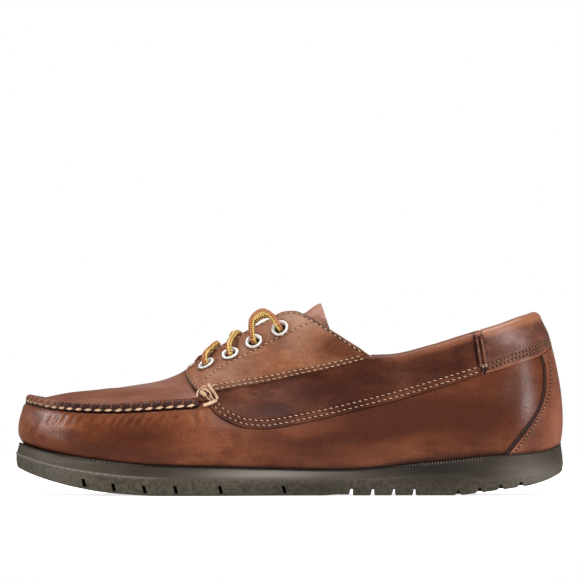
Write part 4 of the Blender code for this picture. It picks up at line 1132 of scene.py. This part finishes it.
stitchSizes = {"long": 2.0, "wide": 0.48, "tall": 0.45, "pitch": 3.25, "hole": 0.5,
               "slant": 0.18, "groove": 0.55, "dark": 0.4}


def stitchModel(bend=0.3, pointed=0.0, segments=8, rings=6):
    # one stitch along z, its ends drawn down into the leather
    deselect()
    bpy.ops.mesh.primitive_uv_sphere_add(segments=segments, ring_count=rings, radius=0.5)
    model = bpy.context.active_object
    for vertex in model.data.vertices:
        end = abs(2 * vertex.co.z)
        thin = 1 - pointed * end
        vertex.co.x *= thin
        vertex.co.y = vertex.co.y * thin - bend * end**2
    smooth(model, 80)
    return model


def frameAt(place, way, normal, sizes):
    # x across the row, y out of the leather, z along the row
    way = way / np.linalg.norm(way)
    normal = normal - way * (normal @ way)
    normal = normal / np.linalg.norm(normal)
    across = np.cross(normal, way)
    matrix = np.eye(4)
    for k, (axis, size) in enumerate(zip((across, normal, way), sizes)):
        matrix[:3, k] = axis * size * mm
    matrix[:3, 3] = place * mm
    return Matrix(matrix.tolist())


def paced(line, normals, pitch, shift=0.0):
    # places one pitch apart along a line, with the way along and out at each
    run = runAlong(line)
    count = max(int(round(run[-1] / pitch)), 1)
    at = (np.arange(count) + 0.5 + shift) * run[-1] / count
    at = at[at < run[-1]]
    ways = np.gradient(line, axis=0)
    return [tuple(np.array([np.interp(a, run, data[:, k]) for k in range(3)]) for data in (line, ways, normals))
            for a in at]


rowsToSew = {"tan": [], "brown": [], "hole": []}


def sew(points, side, out, colour="tan", **own):
    # plans a row of stitches and the needle holes between them, drawn as dark marks of painted shade, with its own
    # sizes where they are given
    sizes = {**stitchSizes, **own}
    line, normals = laid(points, side, out)
    for place, way, normal in paced(line, normals, sizes["pitch"]):
        leaning = way + sizes["slant"] * np.cross(way, normal)
        rowsToSew[colour].append(frameAt(place, leaning, normal, (sizes["wide"], sizes["tall"], sizes["long"])))
    for place, way, normal in paced(line, normals, sizes["pitch"], 0.5):
        rowsToSew["hole"].append(frameAt(place, way, normal, (sizes["hole"], 0.36, 1.3 * sizes["hole"])))


def grooved(places, lines, depth, width=stitchSizes["groove"]):
    # how deep the leather is drawn in along rows of stitches, and how strongly painted shade darkens that groove
    tone = 0
    for points, side, out in lines:
        tone = np.maximum(tone, nearness(places, laid(points, side, out)[0], width))
    return depth * tone, tone


print("quarters and facings")

# the rolled collar edge: how far out it lies, how far over it turns and how far down its edge is painted lighter,
# partly as a painted highlight
collarSizes = {"out": 0.6, "turn": 165, "light": 3.4}
quarterSizes = {"out": 1.0, "thick": 0.95, "edge": 0.25, "lift": 2.6, "footEdge": 2.2, "rollFrom": 0.86,
                "roll": 0.14, "rollLong": 32, "collarFrom": 45, "tuck": 0.6, "groove": 0.3}
facingSizes = {"thick": 1.3, "edge": 0.25, "groove": 0.28, "ditch": 0.3, "cupAt": 5.2, "cupWide": 0.9,
               "cup": 0.25, "holeTo": 3.4, "holeEdge": 0.5, "hole": 1.2, "corner": 0.5, "frontCorner": 1.0,
               "tip": 0.85}
saddleRow = ((-43.5, 51.5), (-40.8, 49.0), (-38.2, 46.1), (-34.3, 43.5), (-30.3, 41.5), (-25.9, 39.7),
             (-21.6, 39.0), (-10.7, 38.6), (8.5, 42.0), (27.7, 46.2), (60.6, 54.5), (93.5, 64.3), (103.6, 67.6))
facingOutline = ((-52.2, 74.2), (-55.2, 72.6), (-56.9, 69.8), (-56.5, 66.2), (-54.2, 61.6), (-50.6, 57.9),
                 (-46.0, 56.4), (-39.0, 57.5), (-26.0, 59.7), (-10.0, 62.3), (4.0, 65.3), (21.0, 68.9),
                 (34.0, 72.0), (43.0, 74.6), (46.4, 76.2))
facingRows = {
    "lower": ((-41.0, 58.2), (-36, 59.0), (-26, 60.8), (-10.0, 63.4), (4.0, 66.4), (21.0, 69.9), (34.0, 73.0),
              (41.0, 74.9)),
    "upper": ((-41.6, 60.4), (-36, 61.2), (-26, 62.8), (-10.0, 65.4), (4.0, 68.3), (21.0, 71.8), (34.0, 74.9),
              (39.0, 76.3)),
    "inner": ((-47.6, 61.6), (-42.0, 67.1), (-33.0, 72.4), (-21.7, 78.1), (-12.0, 83.2), (-3.6, 87.4),
              (4.0, 91.2), (9.1, 93.4), (12.3, 94.6)),
    "edge": ((-49.2, 58.6), (-51.3, 60.0), (-53.7, 62.6), (-55.5, 65.4), (-56.0, 68.6), (-54.4, 71.2),
             (-50.2, 73.3), (-39.7, 79.8), (-26.0, 87.5), (-15.2, 93.7), (-4.7, 98.5), (0.2, 99.6), (4.3, 99.0),
             (11.4, 95.7), (20.5, 90.3), (31.6, 83.1), (39.5, 77.9))}
shadowLines = (((-43.5, 72.4), (-43.4, 75.2), (-42.2, 77.4)),
               ((-30.6, 77.2), (-29.7, 79.8), (-28.8, 82.4), (-28.2, 84.4)))
tabShadow = ((100.6, 88.0), (101.2, 84.0), (102.9, 71.5))
# patches from the side: lighter tone with painted highlights along the collar and the facing's top, darker tone
# with painted shade
saddleTones = {
    "glow": ((100, 92, 40, 3.0, 0.9), (62, 79.5, 18, 1.6, 0.4), (-15, 48, 26, 4, 0.2), (85, 62, 20, 3, 0.15)),
    "shade": ((20, 56, 26, 8, 0.7), (48, 64, 26, 9, 0.6), (72, 70, 24, 7, 0.3), (95, 80, 12, 7, 0.2),
              (-10, 47, 16, 5, 0.8))}
facingTones = {
    "glow": ((-12, 88, 12, 4, 0.2), (4, 96, 12, 7, 0.95), (4, 82, 11, 7, 0.35), (-45, 66, 8, 6, 0.15)),
    "shade": ((26, 80, 13, 7, 1.0), (28, 84, 8, 6, 0.5), (-26, 68, 16, 8, 0.45), (38, 76, 8, 5, 0.5))}


def collarLine(q):
    return np.stack([q, 3.0 + 0 * q], -1)


def makeSaddle(side):
    out = quarterSizes["out"]
    foot = beside(saddleRow, -quarterSizes["footEdge"])
    foot = foot[foot[:, 0] < 104.6]
    low = seat(foot, side, out)
    x = np.linspace(foot[0, 0], 104.4, 140)
    outline = smoothLine(facingOutline, 1.0)[12:]
    under = seat(np.stack([x, np.interp(x, outline[:, 0], outline[:, 1]) + 3.0], -1), side, out)
    rise = ease((x - 38) / 8)
    under[:, 1] += (3.0 - under[:, 1]) * rise
    u, v = shares(220, 66)
    start = quarterSizes["rollFrom"]
    q, heights = between(low, under, u, np.clip(v / start, 0, 1))
    turning = np.clip((v - start) / quarterSizes["roll"], 0, 1)
    rolling = ease((heights - 2.75) / 0.25)
    places = skin(q, heights, out + (collarSizes["out"] - out) * rolling)
    rows = [(beside(saddleRow, lift), side, out) for lift in (0.0, quarterSizes["lift"])]
    depth, dark = grooved(places, rows, quarterSizes["groove"])
    tabCastShadow = nearness(places, laid(tabShadow, side, out)[0], 0.9)
    places = pushed(places, q, heights, -depth - creased(places))
    over = rollEdge(q, collarSizes["turn"] * turning, collarSizes["out"])
    tucked = pushed(places, q, heights, -quarterSizes["tuck"] * ease(turning))
    behind = station(q) - quarterSizes["collarFrom"]
    places = swapped(places, v > start, swapped(tucked, behind > 0, over))
    # painted shade and dark cut edge along the foot edge, painted shade at the collar's top line, the tab's painted
    # shadow, and the rolled collar painted lighter with a painted highlight
    rim = nearness(places, skin(*low.T, out), 0.8)
    reach = (0.6 + 0.4 * ease((station(q) - 66) / 22)) * ease(behind / 20)
    rolled = ease((v - start + collarSizes["light"] / quarterSizes["rollLong"]) / 0.13) * reach
    topLine = 0.15 * ease((v - 0.925) / 0.02) * rolled
    crevice = np.clip(stitchSizes["dark"] * dark + 0.8 * rim + 0.9 * tabCastShadow + topLine, 0, 0.95)
    tones = {**toned(places, saddleTones), "crevice": crevice}
    tones["glow"] = np.maximum(tones["glow"], rolled)
    saddle = gridPiece("saddle_" + sideNames[side], places, tones)
    thicken(saddle, quarterSizes["thick"], quarterSizes["edge"])
    hand(saddle, looks["saddle"], "vamp_leather")
    for row in rows:
        sew(*row)


def makeFacing(side):
    out = laceSizes["faceOut"]
    low = seat(smoothLine(facingOutline, 0.6), side, out)
    ends = [low[0, 0], low[-1, 0]]
    high = collarLine(np.linspace(*ends, len(low)))
    high[:, 1] = 2.99
    u, v = shares(220, 64)
    q, heights = between(low, high, u, v)
    places = skin(q, heights, out)
    rows = [(facingRows[name], side, out) for name in ("lower", "upper", "inner", "edge")]
    depth, dark = grooved(places, rows, facingSizes["groove"])
    ditch, ditchDark = grooved(places, [(beside(facingRows["lower"], 1.0), side, out)], facingSizes["ditch"], 0.6)
    shadow = np.maximum(*[nearness(places, laid(line, side, out)[0], 0.9) for line in shadowLines])
    cups, holes = 0, 0
    for eyelet in eyeletPlaces:
        spot, _ = onFacing(eyelet.x, side, eyelet.below, out)
        away = np.linalg.norm(places - spot, axis=-1)
        cups = cups + bump(away - facingSizes["cupAt"], facingSizes["cupWide"])
        holes = np.maximum(holes, ease((facingSizes["holeTo"] - away) / facingSizes["holeEdge"]))
    x = places[..., 0]
    corner = facingSizes["corner"] * ease((-41.5 - x) / 9) * ease((heights - 2.8) / 0.17)
    corner = corner + facingSizes["frontCorner"] * ease((-49.4 - x) / 2.6) * ease((heights - 2.86) / 0.12)
    tip = facingSizes["tip"] * ease((x - 40.5) / 5.5)
    sunk = depth + ditch + corner + tip + facingSizes["cup"] * cups + facingSizes["hole"] * holes
    places = pushed(places, q, heights, -sunk)
    border = skin(*low.T, out)
    topEdge = skin(*high.T, out)
    # dark cut edges and painted shade along the border and top, painted shade in the stitch grooves, the ditch,
    # round and in the eyelet holes, and the lace's painted shadows
    rim = np.maximum(nearness(places, border, 0.7), 0.9 * nearness(places, border[border[:, 0] < -50.5], 1.25))
    rim = np.maximum(rim, nearness(places, topEdge, 0.7) * (0.3 + 0.7 * ease((places[..., 0] - 2) / 8)))
    crevice = 0.8 * stitchSizes["dark"] * dark + 0.45 * ditchDark + 0.9 * rim + 0.2 * cups + holes + 0.85 * shadow
    tones = {**toned(places, facingTones), "crevice": np.clip(crevice, 0, 0.95)}
    facing = gridPiece("facing_" + sideNames[side] + "_flap", places, tones)
    thicken(facing, facingSizes["thick"], facingSizes["edge"])
    hand(facing, looks["facing"], "facing_leather", "facing_" + sideNames[side])
    for row in rows:
        sew(*row)


for side in bothSides:
    makeSaddle(side)
    makeFacing(side)

print("heel")

heelSizes = {"out": 1.85, "thick": 1.4, "edge": 0.3, "topGap": 0.012, "rollFrom": 0.8, "roll": 0.2,
             "rollLong": 24, "groove": 0.3, "pitch": 2.35}
bandFoot = ((105.0, 66.0), (113.0, 68.3), (126.0, 72.4), (137.0, 76.2), (142.5, 80.2), (145.2, 82.0))
bandRows = (((108.6, 69.2), (117.0, 72.2), (126.0, 75.5), (134.0, 78.5), (140.4, 81.2), (143.8, 83.2)),
            ((108.6, 71.7), (117.0, 74.7), (126.0, 78.0), (134.0, 81.0), (140.5, 83.5), (144.0, 85.2)))
counterFront = ((139.0, 76.3), (140.6, 71.5), (140.9, 67.0), (141.0, 60.0), (140.3, 54.5), (137.6, 46.0),
                (133.4, 39.3), (128.2, 32.8), (123.6, 27.0), (119.4, 21.5))
counterRow = ((142.1, 74.8), (143.0, 68.0), (143.2, 62.0), (142.0, 55.0), (139.9, 49.3), (137.3, 43.9),
              (130.9, 34.2), (125.8, 27.4), (122.2, 22.8))
tabShape = ((103.5, 87.6), (103.9, 85.0), (106.0, 71.0), (106.4, 66.4))
tabSizes = {"out": 3.0, "half": 2.5, "foldAt": 0.43, "bed": 2.0, "fold": 1.3, "settle": 0.8, "thick": 1.3,
            "edge": 0.2, "tailFrom": 71.0, "settleFrom": 82.0}
# patches from the side: lighter tone with painted highlights, painted sheen on the band, darker tone with painted
# shade
bandTones = {
    "glow": ((130, 98.5, 34, 2.4, 0.9), (118, 74.0, 14, 1.0, 0.25)),
    "bloom": ((119, 88, 9, 4.5, 0.3), (124, 84, 6, 3, 0.12)),
    "shade": ((112, 74, 8, 4, 0.4), (140, 88, 5, 8, 0.2))}
counterTones = {
    "glow": ((147, 42, 6, 16, 0.7), (140, 28, 10, 6, 0.2)),
    "shade": ((131, 32, 8, 10, 0.7), (141, 62, 6, 14, 0.5))}


def bothEdges(points, out, step=1.0):
    # a side-view curve on both sides, the inner one counted back past the heel
    line = smoothLine(points, step)
    return seat(line, lateral, out), seat(line, medial, out) - (600, 0)


def heelRound(points, out):
    # a side-view curve taken round the heel from the outer side to the inner
    near, far = bothEdges(points, out)
    middle = [[0.0, (near[-1, 1] + far[-1, 1]) / 2]]
    return np.vstack([near[near[:, 0] > 0.6], middle, far[far[:, 0] < -0.6][::-1]])


def makeBand():
    out = heelSizes["out"]
    low = heelRound(bandFoot, out)
    u, v = shares(210, 54)
    high = collarLine(np.interp(np.linspace(0, 1, 200), np.linspace(0, 1, len(low)), low[:, 0]))
    start = heelSizes["rollFrom"]
    q, heights = between(low, high, u, np.clip(v / start, 0, 1))
    rolling = ease((heights - 2.72) / 0.28)
    places = skin(q, heights, out + (collarSizes["out"] - out) * rolling)
    rows = [(row, side, out) for row in bandRows for side in bothSides]
    depth, dark = grooved(places, rows, heelSizes["groove"])
    places = pushed(places, q, heights, -depth)
    turning = np.clip((v - start) / heelSizes["roll"], 0, 1)
    places = swapped(places, v > start, rollEdge(q, collarSizes["turn"] * turning, collarSizes["out"]))
    # painted shade in the stitch grooves, along the foot edge and at the collar's top line; a painted highlight
    # along the raised foot edge, and the rolled collar painted lighter with a highlight
    rim = nearness(places, skin(*low.T, out), 0.5)
    rolled = ease((v - start + collarSizes["light"] / heelSizes["rollLong"]) / 0.15)
    footHighlight = 0.9 * nearness(places, skin(low[:, 0], low[:, 1] + 0.01, out), 0.7)
    topLine = 0.15 * ease((v - 0.89) / 0.02)
    tones = {**toned(places, bandTones), "crevice": np.clip(0.6 * dark + 0.2 * rim + topLine, 0, 0.95)}
    tones["glow"] = np.maximum(np.maximum(tones["glow"], rolled), footHighlight)
    band = gridPiece("heelBand", places, tones)
    thicken(band, heelSizes["thick"], heelSizes["edge"])
    hand(band, looks["band"], "heel_leather", "heel_band")
    for row in rows:
        sew(*row, colour="brown", pitch=heelSizes["pitch"], long=1.1, wide=0.5, hole=0.85)


def makeCounter():
    out = heelSizes["out"] - 0.1
    near, far = (edge[::-1] for edge in bothEdges(counterFront, out, 0.8))
    u, v = shares(150, 64)
    q, heights = between(near, far, v, u)
    bandLow = heelRound(bandFoot, heelSizes["out"])[::-1]
    top = np.interp(q[:, -1:], bandLow[:, 0], bandLow[:, 1]) - heelSizes["topGap"]
    heights = heights + (top - heights[:, -1:]) * ease((v - 0.6) / 0.4)
    places = skin(q, heights, out)
    rows = [(counterRow, side, out) for side in bothSides]
    depth, dark = grooved(places, rows, heelSizes["groove"])
    places = pushed(places, q, heights, -depth)
    # painted highlight on the raised front edges, painted shade along the foot above the sole and in the stitch
    # grooves
    rims = np.maximum(*[nearness(places, skin(*line.T, out), 1.2) for line in (near, far)])
    foot = bump(places[..., 2] - Section(q).footZ, 0.9)
    tones = {**toned(places, counterTones), "crevice": np.clip(0.6 * dark + 0.8 * foot, 0, 0.9)}
    tones["glow"] = np.maximum(tones["glow"], 0.75 * rims)
    counter = gridPiece("heelCounter", places, tones)
    thicken(counter, heelSizes["thick"], heelSizes["edge"])
    hand(counter, looks["counter"], "heel_leather", "heel_counter")
    for row in rows:
        sew(*row, colour="brown", pitch=heelSizes["pitch"], long=1.2, wide=0.5, hole=0.75)


def strand(name, points, side, out, wide, tall, step=0.4):
    # a narrow strand that lies along the upper
    line, normals = laid(points, side, out, step)
    return tubePiece(name, line, wide, tall, around=10, normals=normals)


def makeTab(side):
    # a strip folded in two pipings over the seam of quarter and band, with painted highlights on the pipings and
    # painted shade in the fold, at its edges and on its tail below a bar of stitches
    name = sideNames[side]
    middle = smoothLine(tabShape, 0.5)
    line = seat(middle, side, tabSizes["out"])
    u, v = shares(len(line) - 1, 28)
    w = np.interp(v, (0, tabSizes["foldAt"], 1), (0, 0.5, 1))
    tail = ease(tabSizes["tailFrom"] - middle[:, 1:])
    across = tabSizes["half"] * (2 * v - 1) * (1 - 0.75 * ease((70.5 - middle[:, 1:]) / 4.5))
    edges = [seat(middle + (dx, 0.12 * dx), side, tabSizes["out"]) for dx in (-1, 1)]
    half = (edges[1] - edges[0])[:, None, :] / 2
    q = line[:, None, 0] + half[..., 0] * across
    heights = np.minimum(line[:, None, 1] + half[..., 1] * across, 2.995)
    fold = np.abs(np.cos(np.pi * w)) ** 0.5 * np.sin(np.pi * np.clip(w, 0.04, 0.96)) ** 0.35
    settle = ease((middle[:, 1:] - tabSizes["settleFrom"]) / 5.0)
    fold = tabSizes["fold"] * fold * (1 - 0.7 * tail) * (1 - 0.4 * settle)
    places = skin(q, heights, tabSizes["bed"] - tabSizes["settle"] * settle + fold)
    crevice = 0.95 * bump(w - 0.5, 0.07) + 0.9 * bump(w, 0.08) + 0.8 * bump(w - 1, 0.05) + 0.85 * tail
    glow = 0.7 * (bump(w - 0.25, 0.05) + bump(w - 0.75, 0.07)) * ease(u * 6)
    tab = gridPiece("sideTab_" + name, places, {"glow": glow, "crevice": np.clip(crevice, 0, 0.95)})
    thicken(tab, tabSizes["thick"], tabSizes["edge"])
    hand(tab, looks["tab"], "tab_leather", "side_tab_" + name)
    for dx in (-1.5, 1.3):
        row = [(x + dx, z) for x, z in tabShape[1:3]]
        sew(row, side, 3.2, colour="brown", pitch=1.5, long=0.9, wide=0.4)
    for z in (70.2, 71.1):
        sew([(104.9, z - 0.2), (108.3, z + 0.4)], side, 3.0, pitch=1.4, long=1.3, wide=0.5)


makeBand()
makeCounter()
for side in bothSides:
    makeTab(side)
    # a near-black strand in the groove before the counter: painted shadow
    gapLine = beside(counterFront, -1.25)
    gap = strand("counterGap_" + sideNames[side], gapLine, side, 0.4, 2.7, 0.8)
    hand(gap, looks["hole"], "vamp_leather")

print("tongue, lining and sock")

tongueSizes = {"thick": 3.2, "round": 0.06, "from": -68.0, "to": 16.8, "end": 0.9}
tongueTones = {
    "glow": ((14, 102, 8, 4, 0.2), (20, 93.5, 4, 4, 0.95))}


def makeTongue():
    # a padded strip: each row runs over the top from side to side and back underneath
    stations = np.linspace(tongueSizes["from"], tongueSizes["to"], 64)
    across = np.sin(np.linspace(-0.5, 0.5, 49) * np.pi)
    edge = np.clip((np.abs(across) - 1 + tongueSizes["round"]) / tongueSizes["round"], 0, 1)
    plump = np.sqrt(1 - edge**2) * tongueSizes["thick"] / 2
    middle = np.empty((len(stations), len(across), 3))
    for i, x in enumerate(stations):
        crown, tilt = tongueTop(x, 0), along(tongueRows, "tilt", x)
        halves = {side: tongueHalf(x, side) for side in bothSides}
        for j, k in enumerate(across):
            y = k * halves[medial if k > 0 else lateral]
            z = tongueTop(x, abs(y))
            middle[i, j] = (x + tilt * (crown - z), along(planRows, "spine", x) + y, z - tongueSizes["thick"] / 2)
    middle[1:-1] = (middle[:-2] + 2 * middle[1:-1] + middle[2:]) / 4
    turns = np.linspace(0, np.pi / 2, 6)[1:]
    ways = unit(middle[-1] - middle[-2])
    rows = [(middle[0], 0.0), *[(row, 1.0) for row in middle]]
    rows += [(middle[-1] + ways * tongueSizes["end"] * np.sin(turn), np.cos(turn)) for turn in turns]
    lattice = np.array([np.vstack([row + (0, 0, 1) * (share * plump)[:, None],
                                   (row - (0, 0, 1) * (share * plump)[:, None])[::-1][1:]]) for row, share in rows])
    u, v = shares(lattice.shape[0] - 1, lattice.shape[1] - 1)
    # painted shade toward its front and along its back edge, lighter tone with painted highlights from the patches
    tones = {"shade": 0.1 * ease((0.55 - u) / 0.5), "crevice": 0.35 * bump(1 - u, 0.03),
             **toned(lattice, tongueTones)}
    tongue = gridPiece("tonguePad", lattice, tones, facing=None)
    mergePoints(tongue, 0.01)
    smooth(tongue, 60)
    hand(tongue, looks["tongue"], "tongue_leather", "tongue")


liningSizes = {"roll": 0.12, "wall": 0.88, "out": 0.05, "into": 0.25}


def makeLining():
    u, v = shares(260, 34)
    q = 600 * u[:, :1]
    over = rollEdge(q, 90 + 90 * np.clip(v / liningSizes["roll"], 0, 1), liningSizes["out"])
    closed = station(q) < last["closedTo"] + 2
    heights = 3.0 * (1 - np.clip((v - liningSizes["roll"]) / liningSizes["wall"], 0, 1))
    wall = innerFace(q, heights, -liningSizes["into"])
    places = swapped(wall, (v < liningSizes["roll"]) & ~closed, over)
    # painted shade, growing deeper into the shoe
    lining = gridPiece("lining", places, {"shade": 0.5 * ease((v - 0.3) / 0.5)}, facing="in")
    mergePoints(lining, 0.03, closed=False)
    smooth(lining, 60)
    hand(lining, looks["lining"], "sock")


def makeSock():
    u, v = shares(160, 20)
    section = Section(600 * u[:, :1])
    edge = section.footR - last["wall"] - 2 * last["gap"]
    lift = 2 * last["gap"] + last["wall"] + last["insole"]
    r = edge * (1 - v)
    places = section.place(r, section.ledge(r) + lift)
    # painted shade along its edge by the wall
    sock = gridPiece("sockLining", places, {"shade": 0.3 * bump(v, 0.1)})
    mergePoints(sock, 0.03, closed=False)
    thicken(sock, last["insole"] - 0.2, 0.4)
    hand(sock, looks["lining"], "sock", "insole")


makeTongue()
makeLining()
makeSock()

print("eyelets")

eyeletSteps = ((3.05, -4.4), (3.3, -4.4), (3.3, 0.3), (4.6, 0.3), (4.8, 0.6), (4.78, 0.9), (4.6, 1.2),
               (4.25, 1.38), (3.85, 1.36), (3.5, 1.12), (3.25, 0.75), (3.1, 0.3))


def eyeletModel():
    # a ring of points carried through the eyelet's section and closed on itself
    deselect()
    first = eyeletSteps[0]
    bpy.ops.mesh.primitive_circle_add(vertices=36, radius=first[0] * mm, location=(0, 0, first[1] * mm))
    model = bpy.context.active_object
    bpy.ops.object.transform_apply(location=True)
    editAll(model)
    for (r0, z0), (r1, z1) in zip(eyeletSteps, [*eyeletSteps[1:], first]):
        bpy.ops.mesh.extrude_region_move(TRANSFORM_OT_translate={"value": (0, 0, (z1 - z0) * mm)})
        bpy.ops.transform.resize(value=(r1 / r0, r1 / r0, 1))
    bpy.ops.object.mode_set(mode="OBJECT")
    mergePoints(model, 0.01)
    smooth(model, 50)
    return model


def makeEyelets():
    model = eyeletModel()
    for side in bothSides:
        for number, eyelet in enumerate(eyeletPlaces, 1):
            spot, normal = onFacing(eyelet.x, side, eyelet.below, laceSizes["faceOut"])
            turn = Vector(normal).to_track_quat("Z", "Y").to_matrix().to_4x4()
            name = f"{sideNames[side]}_{number}"
            ring = copies("eyeletRing_" + name, model, [Matrix.Translation(Vector(spot) * mm) @ turn])
            hand(ring, looks["metal"], "eyelet_metal", "eyelet_" + name)
    discard(model)


makeEyelets()

print("knots and stitches")

# the knots of rawhide: out from the skin, width and course of each strand
knotStrands = (
    (2.0, 1.1, ((-50.6, 53.6), (-49.8, 57.0), (-47.6, 59.0), (-45.2, 59.8))),
    (3.3, 1.6, ((-44.2, 61.1), (-43.0, 58.6), (-40.8, 56.0), (-38.9, 52.8))),
    (2.9, 1.8, ((-47.0, 49.3), (-43.5, 50.5), (-39.3, 52.3))),
    (3.2, 2.4, ((-48.4, 57.0), (-46.8, 55.7), (-45.4, 54.5))),
    (2.6, 1.5, ((-47.6, 58.0), (-45.4, 57.6), (-43.9, 56.4))),
    (2.8, 0.9, ((-45.9, 58.4), (-43.9, 57.0), (-42.7, 54.9), (-41.9, 53.0))),
    (2.4, 0.8, ((-45.9, 54.9), (-44.5, 53.3), (-42.8, 51.8))),
    (2.3, 1.0, ((-42.5, 59.2), (-41.6, 60.1), (-40.6, 60.6))),
    (2.2, 1.2, ((-43.6, 54.9), (-42.4, 53.4), (-41.0, 52.6))))
knotPad = ((-49.4, 54.4), (-45.0, 54.8), (-40.6, 55.4))


def makeKnots():
    for side in bothSides:
        strands = [strand("strand", points, side, out, wide, 0.8 * wide, 0.3) for out, wide, points in knotStrands]
        hand(joined("rawhideKnot_" + sideNames[side], strands), looks["rawhide"], "lace")
        bed = strand("knotBed_" + sideNames[side], knotPad, side, 1.6, 7.0, 1.0)
        hand(bed, looks["ridge"], "vamp_leather")


# under the gaps of the puckered seam, rice-shaped stitches, then the holes between them: shift along the row,
# place out and up from the seam, and size
seamStitches = rowsOf("shift out up size", (0.0, 0.75, 0.25, (1.6, 1.4, 4.7)), (0.5, 0.3, -0.2, (0.9, 0.8, 2.2)))


def seamPlaces(row):
    made = []
    for k in range(1, gapCount):
        q = np.interp((k + row.shift) * seamPitch, seamLengths, seamSteps)
        here, ahead = onSkin(np.array([q, q + 0.4]), 2.0)
        section = Section(q)
        outward = np.array([float(section.dx), float(section.dy), 0.25])
        place = here + outward * (row.out - 0.8 * float(section.toe) ** 2) + (0, 0, row.up)
        made.append(frameAt(place, ahead - here - (0, 0, 0.05), outward, row.size))
    return made


def makeRow(name, model, matrices, look, slotName):
    hand(copies(name, model, matrices), looks[look], slotName)
    discard(model)


def makeRows():
    stitches, holes = (seamPlaces(row) for row in seamStitches)
    rowsToSew["hole"].extend(holes)
    makeRow("seamThread", stitchModel(0.25, 0.5), stitches, "rawhide", "lace")
    makeRow("stitches_tan", stitchModel(), rowsToSew["tan"], "thread", "lace")
    # the needle holes are dark marks of painted shade
    for colour, look, slotName in (("brown", "brownThread", "lace"), ("hole", "hole", "vamp_leather")):
        makeRow("stitches_" + colour, stitchModel(segments=6, rings=4), rowsToSew[colour], look, slotName)


makeKnots()
makeRows()

print("stage")

stageLook = {"world": 0.2, "floor": 3.0, "floorGlow": 0.75}
lights = rowsOf(
    "name place aim size power",
    ("topLight", (-0.1, 0.15, 1.5), (0, 0, 0.05), 1.3, 26.0),
    ("keyLight", (1.85, -1.0, 0.5), (0.05, 0, 0.05), 0.45, 13.0),
    ("sideLight", (0.91, -1.58, 1.23), (0.05, 0, 0.05), 0.5, 11.0),
    ("leftLight", (-1.9, -0.1, 0.55), (-0.1, 0, 0.05), 0.4, 11.0),
    ("frontLight", (-0.5, -2.6, 1.3), (0, 0, 0.05), 1.8, 13.0))


def addStage():
    deselect()
    bpy.ops.mesh.primitive_plane_add(size=stageLook["floor"], location=(0, 0, -0.0002))
    floor = bpy.context.active_object
    floor.name = "floor"
    floor.data.materials.append(Look("paleFloor").finish(
        BaseColor=(0.9, 0.9, 0.9), Roughness=1.0, EmissionColor=(1.0, 1.0, 1.0),
        EmissionStrength=stageLook["floorGlow"]))
    floor.visible_glossy = False
    world = bpy.data.worlds.new("studio")
    scene.world = world
    world.use_nodes = True
    nodes, links = world.node_tree.nodes, world.node_tree.links
    soft, white = nodes["Background"], nodes.new("ShaderNodeBackground")
    soft.inputs["Strength"].default_value = stageLook["world"]
    for background in (soft, white):
        background.inputs["Color"].default_value = (1, 1, 1, 1)
    either = nodes.new("ShaderNodeMixShader")
    seen = nodes.new("ShaderNodeLightPath").outputs["Is Camera Ray"]
    for socket, source in zip(either.inputs, (seen, soft.outputs[0], white.outputs[0])):
        links.new(source, socket)
    links.new(either.outputs[0], nodes["World Output"].inputs[0])
    for row in lights:
        bpy.ops.object.light_add(type="AREA", location=row.place)
        light = bpy.context.active_object
        light.name = row.name
        light.data.energy = row.power
        light.data.size = row.size
        light.visible_glossy = row.name != "frontLight"
        light.rotation_euler = (Vector(row.aim) - Vector(row.place)).to_track_quat("-Z", "Y").to_euler()


addStage()
scene.view_settings.view_transform = "Standard"
